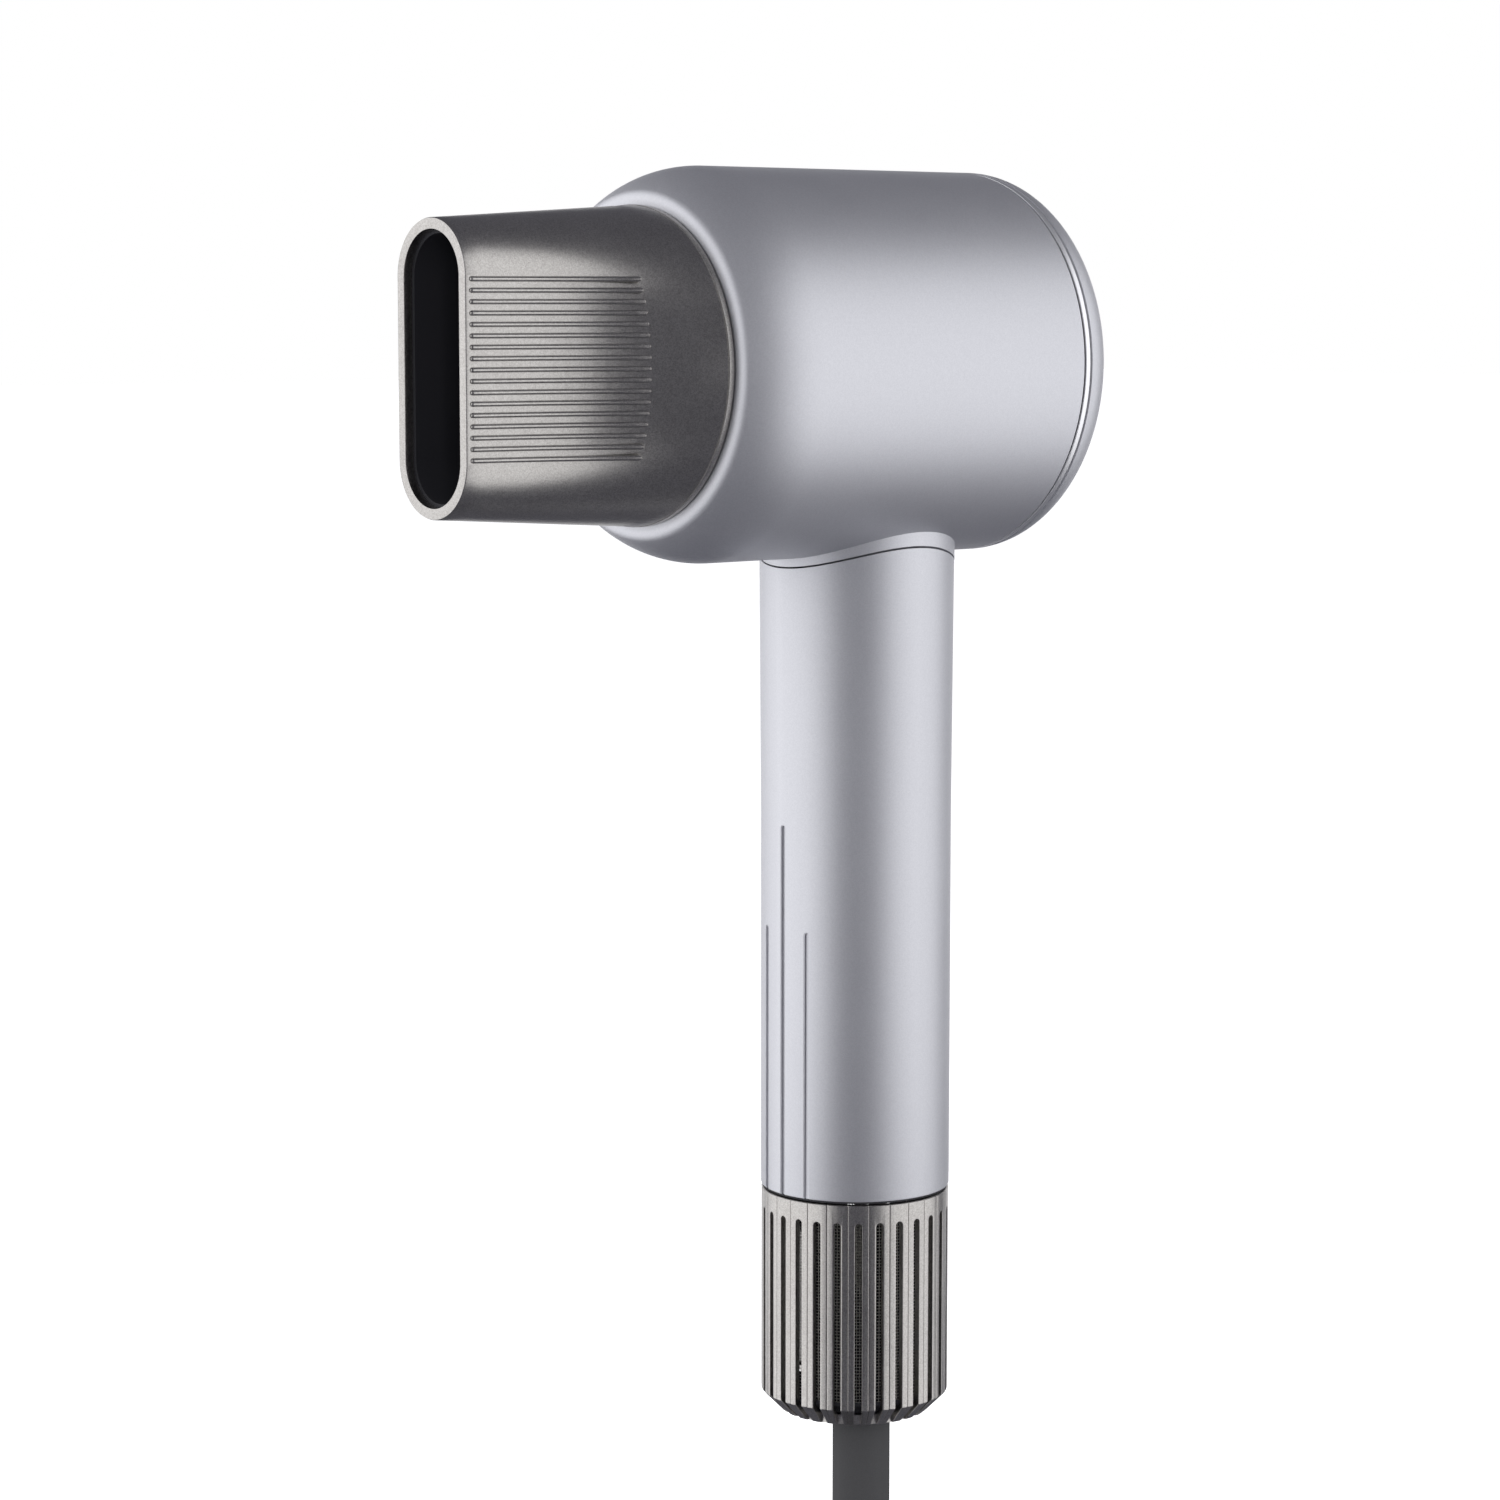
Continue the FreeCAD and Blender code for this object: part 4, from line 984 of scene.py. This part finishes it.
@dataclass
class Handle:
    """The long tube with its three front grooves and the panel's window."""

    radius: float = 19.5
    neck: float = 19.9
    bore: float = 17.9
    taper_start: float = 20.0
    groove: float = 1.1
    groove_depth: float = 0.5
    groove_angle: float = 18.7
    middle_top: float = 16.6
    side_top: float = -4.7
    gap: float = 2.75
    window: Point = (-20.0, 46.0)
    window_half: float = 7.0
    sides: int = 180

    def groove_tool(self, angle: float, top: float, bottom: float) -> Piece:
        """Return the cutter of one groove: round at its top, with a small flare at its lips."""
        half, flare = self.groove / 2, 0.18
        tool = None
        for number, (wide, start) in enumerate(((half, self.radius - self.groove_depth),
                                                (half + flare, self.radius - flare * 0.6))):
            corners = [(0, wide), *[(y, z) for z, y in arc((top, 0), wide, 90, -90, 10)]]
            outline = [mm(-start, y, z) for y, z in corners[1:]]
            outline += [mm(-start, -wide, bottom), mm(-start, wide, bottom)]
            part = pushed_out(f"groove_{number}", outline, mm(-3, 0, 0))
            tool = part if tool is None else carve(tool, part, Carve.JOIN)
        take(tool)
        bpy.ops.transform.rotate(value=math.radians(-angle), orient_axis="Z",
                                 center_override=(0, 0, 0))
        bpy.ops.object.transform_apply(location=True, rotation=True, scale=True)
        return tool

    def build(self, head: Head) -> None:
        """Turn the tube, trim it to the head and cut the window and the grooves."""
        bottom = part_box("handle_tube")[0].z / MM
        outline = [(bottom, self.bore), (bottom, self.radius - 0.3),
                   (bottom + 0.1, self.radius - 0.1), (bottom + 0.35, self.radius),
                   (self.taper_start, self.radius), (80, self.neck), (80, self.bore)]
        tube = turned("handle_grip", outline, Axis.UPRIGHT, Vector(), self.sides)
        carve(tube, head.coping("handle_coping", self.gap))
        low, high = self.window
        window = pushed_out("window", [
            mm(12, -self.window_half, low), mm(12, self.window_half, low),
            mm(12, self.window_half, high), mm(12, -self.window_half, high)],
            mm(12, 0, 0))
        carve(tube, soften(window, 1.2, 3))
        for angle, top in ((0, self.middle_top), (self.groove_angle, self.side_top),
                           (-self.groove_angle, self.side_top)):
            carve(tube, self.groove_tool(angle, top, bottom - 2))
        fit(tube, "dryer", "body_paint", "handle_tube", smooth=24)


@dataclass
class Controls:
    """The rear panel with its slider and three push buttons."""

    radius: float = 19.4
    plate: float = 1.8
    half: float = 6.9
    low: float = -19.9
    high: float = 45.9
    button_radius: float = 3.6
    front: float = 20.1
    buttons: tuple[tuple[str, float], ...] = (
        ("speed_button", 12.0), ("temperature_button", 24.0), ("cool_button", 36.0))

    def panel(self) -> Piece:
        """Cut the curved panel from a ring and bore it for its controls."""
        ring = turned("control_plate", [
            (self.low, self.radius - self.plate), (self.low, self.radius),
            (self.high, self.radius), (self.high, self.radius - self.plate)],
            Axis.UPRIGHT, Vector(), 180)
        corners = eased([(-self.half, self.low - 1, 1.6), (self.half, self.low - 1, 1.6),
                         (self.half, self.high + 1, 1.6), (-self.half, self.high + 1, 1.6)], 5)
        outline = [mm(12, y, z) for y, z in corners]
        carve(ring, pushed_out("panel_side", outline, mm(12, 0, 0)), Carve.SHARE)
        for _, height in self.buttons:
            well = [(12, 0), (12, self.button_radius + 0.2), (18.9, self.button_radius + 0.2),
                    (19.8, self.button_radius + 0.75), (22, self.button_radius + 0.75), (22, 0)]
            carve(ring, turned("well", well, Axis.BARREL, mm(0, 0, height), 64))
            hole = [(12, 0), (12, 0.85), (22, 0.85), (22, 0)]
            carve(ring, turned("lens_hole", hole, Axis.BARREL, mm(0, 5.2, height), 24))
        slot = eased([(-1.7, -13.2, 1.2), (1.7, -13.2, 1.2), (1.7, -0.8, 1.2),
                      (-1.7, -0.8, 1.2)], 5)
        way = [mm(12, y, z) for y, z in slot]
        return carve(ring, pushed_out("slot", way, mm(12, 0, 0)))

    def cap(self, name: str, height: float) -> Piece:
        """Turn one button: dished front, rounded rim, collar and stem."""
        radius = self.button_radius
        outline = [(14.9, 0), (14.9, 1.2), (15.6, 1.2), (15.6, radius + 0.6), (16.6, radius + 0.6),
                   (16.6, radius), (self.front - 0.4, radius), (self.front - 0.1, radius - 0.12),
                   (self.front, radius - 0.4), (self.front, radius - 0.8),
                   (self.front - 0.2, radius - 1.1), (self.front - 0.38, radius - 2.2),
                   (self.front - 0.42, 0)]
        return turned(name + "_cap", outline, Axis.BARREL, mm(0, 0, height), 64)

    def slider(self) -> Piece:
        """Extrude the slider's ridged knob and join its neck and foot."""
        low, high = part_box("power_slider")
        bottom, top = low.z / MM, high.z / MM
        side = [(19.75, bottom), (19.75, top), (20.6, top), (20.95, top - 0.4)]
        middle = (bottom + top) / 2
        for number in range(5):
            at = middle + 1.5 * (2 - number)
            side += [(20.95, at + 0.4), (21.3, at + 0.2), (21.3, at - 0.2), (20.95, at - 0.4)]
        side += [(20.95, bottom + 0.4), (20.6, bottom)]
        outline = [mm(x, -3.5, z) for x, z in side]
        knob = soften(pushed_out("power_knob", outline, mm(0, 7, 0)), 0.3, 2, 60)
        neck = [mm(14.5, y, bottom) for y in (-1.5, 1.5)] + [mm(20, y, bottom) for y in (1.5, -1.5)]
        foot = [mm(14.5, y, bottom) for y in (-4, 4)] + [mm(15.7, y, bottom) for y in (4, -4)]
        carve(knob, pushed_out("neck", neck, mm(0, 0, top - bottom)), Carve.JOIN)
        return carve(knob, pushed_out("foot", foot, mm(0, 0, top - bottom)), Carve.JOIN)

    def build(self) -> None:
        """Make the panel, the buttons and the slider."""
        fit(self.panel(), "dryer", "black_plastic", "control_panel")
        for name, height in self.buttons:
            fit(self.cap(name, height), name, "button_metal", name)
        fit(self.slider(), "power_slider", "button_metal", "power_slider")


# Filter cage --------------------------------------------------------------------------------


@dataclass
class FilterCage:
    """The slotted cup at the handle's foot, with its woven mesh sleeve."""

    radius: float = 19.4
    wall: float = 1.4
    top: float = -59.65
    bottom: float = -106.5
    chamfer: float = 4.0
    slots: int = 28
    slot_half: float = 0.725
    slot_top: float = -64.2
    lip: float = 0.2
    soft_angle: float = 32.0
    mesh_radius: float = 17.4
    mesh_span: Point = (-101.2, -62.2)
    mesh_pitch: float = 0.67
    mesh_wire: float = 0.24

    def sector(self) -> Piece:
        """Model one slot with half a rib on each side."""
        pitch = math.tau / self.slots
        foot = self.radius - self.chamfer
        inner = self.radius - self.wall
        outline = eased([
            (inner, self.top, 0.15), (inner, self.bottom + self.chamfer + 0.5, 0),
            (foot - 0.9, self.bottom + 1.5, 0), (9, self.bottom + 1.5, 0.3),
            (9, self.bottom, 0.3), (foot, self.bottom, 0.25),
            (self.radius, self.bottom + self.chamfer, 0.5), (self.radius, self.top, 0.25)], 3)
        start = Matrix.Rotation(-pitch / 2, 3, "Z")
        points = [start @ mm(out, 0, along) for out, along in outline]
        piece = draw_line("cage", [*points, points[0]])
        bpy.ops.mesh.select_all(action="SELECT")
        bpy.ops.mesh.remove_doubles(threshold=WELD)
        bpy.ops.mesh.edge_face_add()
        bpy.ops.mesh.spin(steps=4, angle=-pitch, center=(0, 0, 0), axis=(0, 0, 1))
        close_up()
        return piece

    def cut_slot(self, piece: Piece) -> None:
        """Cut the slot through the sector and ease its lips."""
        half = self.slot_half
        arch = [(y, z) for z, y in arc((self.slot_top, 0), half, 90, -90, 12)]
        outline = [mm(15.0, y, z) for y, z in arch]
        outline += [mm(15.0, -half, self.bottom - 2), mm(15.0, half, self.bottom - 2)]
        carve(piece, pushed_out("slot_cutter", outline, mm(8, 0, 0)))
        take(piece, edit=True)
        pick("EDGE", self.is_lip)
        bpy.ops.mesh.bevel(offset=self.lip * MM, segments=2, affect="EDGES")

    def is_lip(self, edge: bmesh.types.BMEdge) -> bool:
        """Say whether an edge lies where the slot's wall meets the cage's outside."""
        if len(edge.link_faces) != 2:
            return False
        middle = (edge.verts[0].co + edge.verts[1].co) / 2
        out = Vector((middle.x, middle.y, 0)).normalized()
        facing = sorted(abs(face.normal.dot(out)) if face.normal.dot(out) > 0 else 0.0
                        for face in edge.link_faces)
        outside = middle.xy.length > (self.radius - self.chamfer + 0.1) * MM
        return facing[0] < 0.3 and facing[1] > 0.6 and outside

    def cup(self) -> Piece:
        """Repeat the sector round the axis into the whole cup."""
        pitch = math.tau / self.slots
        piece = self.sector()
        self.cut_slot(piece)
        edges = [Matrix.Rotation(way * pitch / 2, 3, "Z") @ Vector((0, 1, 0)) for way in (1, -1)]

        def is_cut_end(face: bmesh.types.BMFace) -> bool:
            """Say whether a face lies in one of the sector's two side planes."""
            return any(all(abs(vert.co.dot(side)) < WELD for vert in face.verts)
                       for side in edges)

        pick("FACE", is_cut_end)
        bpy.ops.mesh.delete(type="ONLY_FACE")
        bpy.ops.mesh.select_mode(type="VERT")
        bpy.ops.mesh.select_all(action="SELECT")
        bpy.ops.mesh.spin(steps=self.slots - 1, angle=pitch * (self.slots - 1), dupli=True,
                          center=(0, 0, 0), axis=(0, 0, 1))
        close_up()
        self.even_out(piece)
        return piece

    def even_out(self, piece: Piece) -> None:
        """Let the broad faces lead the shading, so that the eased lips don't streak them.

        Args:
            piece: The whole cup.
        """
        take(piece)
        bpy.ops.object.shade_smooth_by_angle(angle=math.radians(self.soft_angle))
        apply_modifier(piece, "WEIGHTED_NORMAL", weight=90, keep_sharp=True)

    def weave(self) -> Piece:
        """Spin a net of square cells, ripple it and turn its lines into wires."""
        low, high = self.mesh_span
        rows = round((high - low) / self.mesh_pitch)
        around = round(math.tau * self.mesh_radius / self.mesh_pitch / 2) * 2
        rise = (high - low) / rows
        points = [mm(self.mesh_radius, 0, low + rise * row) for row in range(rows + 1)]
        net = draw_line("filter_weave", points)
        bpy.ops.mesh.select_all(action="SELECT")
        bpy.ops.mesh.spin(steps=around, angle=math.tau, center=(0, 0, 0), axis=(0, 0, 1))
        bpy.ops.mesh.select_all(action="SELECT")
        bpy.ops.mesh.remove_doubles(threshold=WELD)
        bpy.ops.mesh.normals_make_consistent(inside=False)

        def is_raised(vert: bmesh.types.BMVert) -> bool:
            """Say whether a crossing is one of every second ones, as in a chequerboard."""
            row = round((vert.co.z / MM - low) / rise)
            column = round(math.atan2(vert.co.y, vert.co.x) / math.tau * around)
            return (row + column) % 2 == 0

        pick("VERT", is_raised)
        bpy.ops.transform.shrink_fatten(value=0.12 * MM)
        bpy.ops.object.mode_set(mode="OBJECT")
        return apply_modifier(net, "WIREFRAME", thickness=self.mesh_wire * MM,
                              use_even_offset=False, use_boundary=True)

    def build(self) -> None:
        """Make the cup and its mesh."""
        fit(self.cup(), "filter", "gunmetal", "filter_cage", smooth=self.soft_angle)
        fit(self.weave(), "filter", "mesh_steel", "filter_mesh", smooth=60)


# Nozzle -------------------------------------------------------------------------------------


@dataclass
class Nozzle:
    """The concentrator: slot tip, flared round base, flange and fine ribs."""

    tip: float = -104.7
    base: float = -57.2
    flange: float = 1.4
    flange_radius: float = 31.0
    half_width: float = 11.0
    half_height: float = 28.0
    wall: float = 2.2
    lean: float = 4.0
    throat: float = 24.6
    seat: float = 27.9
    seat_depth: float = 0.95
    flare: float = 3.0
    rib_start: float = 0.02
    rib_end: float = 0.765
    rib_curve: float = 0.00012
    rib_pitch: float = 2.08
    rib_radius: float = 0.5
    ribs: int = 17
    sides: int = 160
    stations: tuple[float, ...] = (0.08, 0.16, 0.24, 0.31, 0.38, 0.44, 0.5, 0.56, 0.61, 0.66,
                                   0.71, 0.76, 0.81, 0.85, 0.89, 0.93, 0.965, 1.0)

    @property
    def length(self) -> float:
        """Length of the flared part."""
        return self.base - self.flange - self.tip

    def side_at(self, station: float) -> float:
        """Return the half width of the outside at a station from 0 at the tip to 1."""
        spread = self.flange_radius - 0.3 - self.half_width - self.lean
        return self.half_width + self.lean * station + spread * max(station, 0.0) ** self.flare

    def ring(self, station: float, inset: float, base_inset: float) -> Ring:
        """Return the section at a station, set in from the outside."""
        shrink = inset + (base_inset - inset) * max(station, 0.0) ** self.flare
        grow = (self.flange_radius - 0.1 - self.half_height) * station
        short = self.side_at(station) - shrink
        long = max(self.half_height + grow - shrink, short)
        return Ring(self.tip + self.length * station, short, long)

    def rings(self) -> list[Ring]:
        """Return the sections of the whole wall: outside, flange, back and inside."""
        ease = 0.3 / self.length
        deep = self.flange_radius - 0.3 - self.throat
        outside = [self.ring(0, 0.32, 0), self.ring(ease * 0.3, 0.1, 0), self.ring(ease, 0, 0)]
        outside += [self.ring(station, 0, 0) for station in self.stations]
        start, end = self.base - self.flange, self.base
        floor, out = end - self.seat_depth, self.flange_radius
        rim = [Ring(start, out - 0.12, out - 0.08), Ring(start + 0.12, out, out),
               Ring(end - 0.25, out, out), Ring(end, out - 0.25, out - 0.25),
               Ring(end, self.seat, self.seat), Ring(floor, self.seat, self.seat),
               Ring(floor, self.throat + 0.4, self.throat + 0.4),
               Ring(start, self.throat + 0.4, self.throat + 0.4)]
        inside = [self.ring(station, self.wall, deep) for station in reversed(self.stations)]
        inside += [self.ring(ease, self.wall, deep), self.ring(ease * 0.3, self.wall - 0.1, deep),
                   self.ring(0, self.wall - 0.32, deep)]
        return [*outside, *rim, *inside]

    def rib(self, number: int, side: int, centre: Vector) -> Piece:
        """Turn one round-ended rib and lay it on the flared side.

        Args:
            number: Its place in the row, counted from below.
            side: -1 or 1, the side of the nozzle along Y.
            centre: Point on the barrel's axis above the origin, in metres.

        Returns:
            The rib.
        """
        up = (number - (self.ribs - 1) / 2) * self.rib_pitch
        run = (self.rib_end - self.rib_curve * up * up - self.rib_start) * self.length
        radius = self.rib_radius
        steps = 14
        between = [(radius + (run - 2 * radius) * step / steps, radius)
                   for step in range(1, steps)]
        outline = [*arc((radius, 0), radius, 180, 90, 3), *between,
                   *arc((run - radius, 0), radius, 90, 0, 3)]
        place = centre + mm(self.tip + self.rib_start * self.length, 0, up)
        bar = turned(f"rib_{side}_{number}", outline, Axis.BARREL, place, 10)
        take(bar, edit=True)
        for along in sorted({round(spot, 3) for spot, _ in outline}):
            level = place.x + along * MM
            pick("VERT", lambda vert: abs(vert.co.x - level) < 2 * WELD)
            station = self.rib_start + along / self.length
            out = side * (self.side_at(station) + 0.07)
            bpy.ops.transform.translate(value=tuple(mm(0, out, 0)))
        bpy.ops.object.mode_set(mode="OBJECT")
        return bar

    def build(self, head: Head) -> None:
        """Loft the wall and set the ribs into both flat sides."""
        shell = lofted("nozzle_wall", self.rings(), Axis.BARREL, head.centre, self.sides, True)
        for side in (-1, 1):
            bars = [self.rib(number, side, head.centre) for number in range(self.ribs)]
            carve(shell, joined(bars), Carve.JOIN)
        fit(shell, "nozzle", "gunmetal", "nozzle_shell")


# The whole dryer ----------------------------------------------------------------------------


def dress_frame() -> None:
    """Give every node of the frame that still shows the finish of its slot."""
    slots = {part["node"]: part["material_slot"] for part in frame["record"]["subparts"]}
    for name, node in frame["nodes"].items():
        finish = SLOT_FINISHES[slots[name]].material()
        for slot in node.material_slots:
            slot.material = finish


def main() -> None:
    """Build the stage and the dryer, piece by piece."""
    logging.basicConfig(level=logging.INFO, format="%(name)s: %(message)s")
    studio = Studio()
    studio.set_camera()
    MainsLead().build()
    Boot().build()
    dress_frame()
    head = Head()
    head.build()
    Handle().build(head)
    Controls().build()
    FilterCage().build()
    Nozzle().build(head)
    studio.lay_floor()
    studio.light_room()
    put_down()


if __name__ == "__main__":
    main()
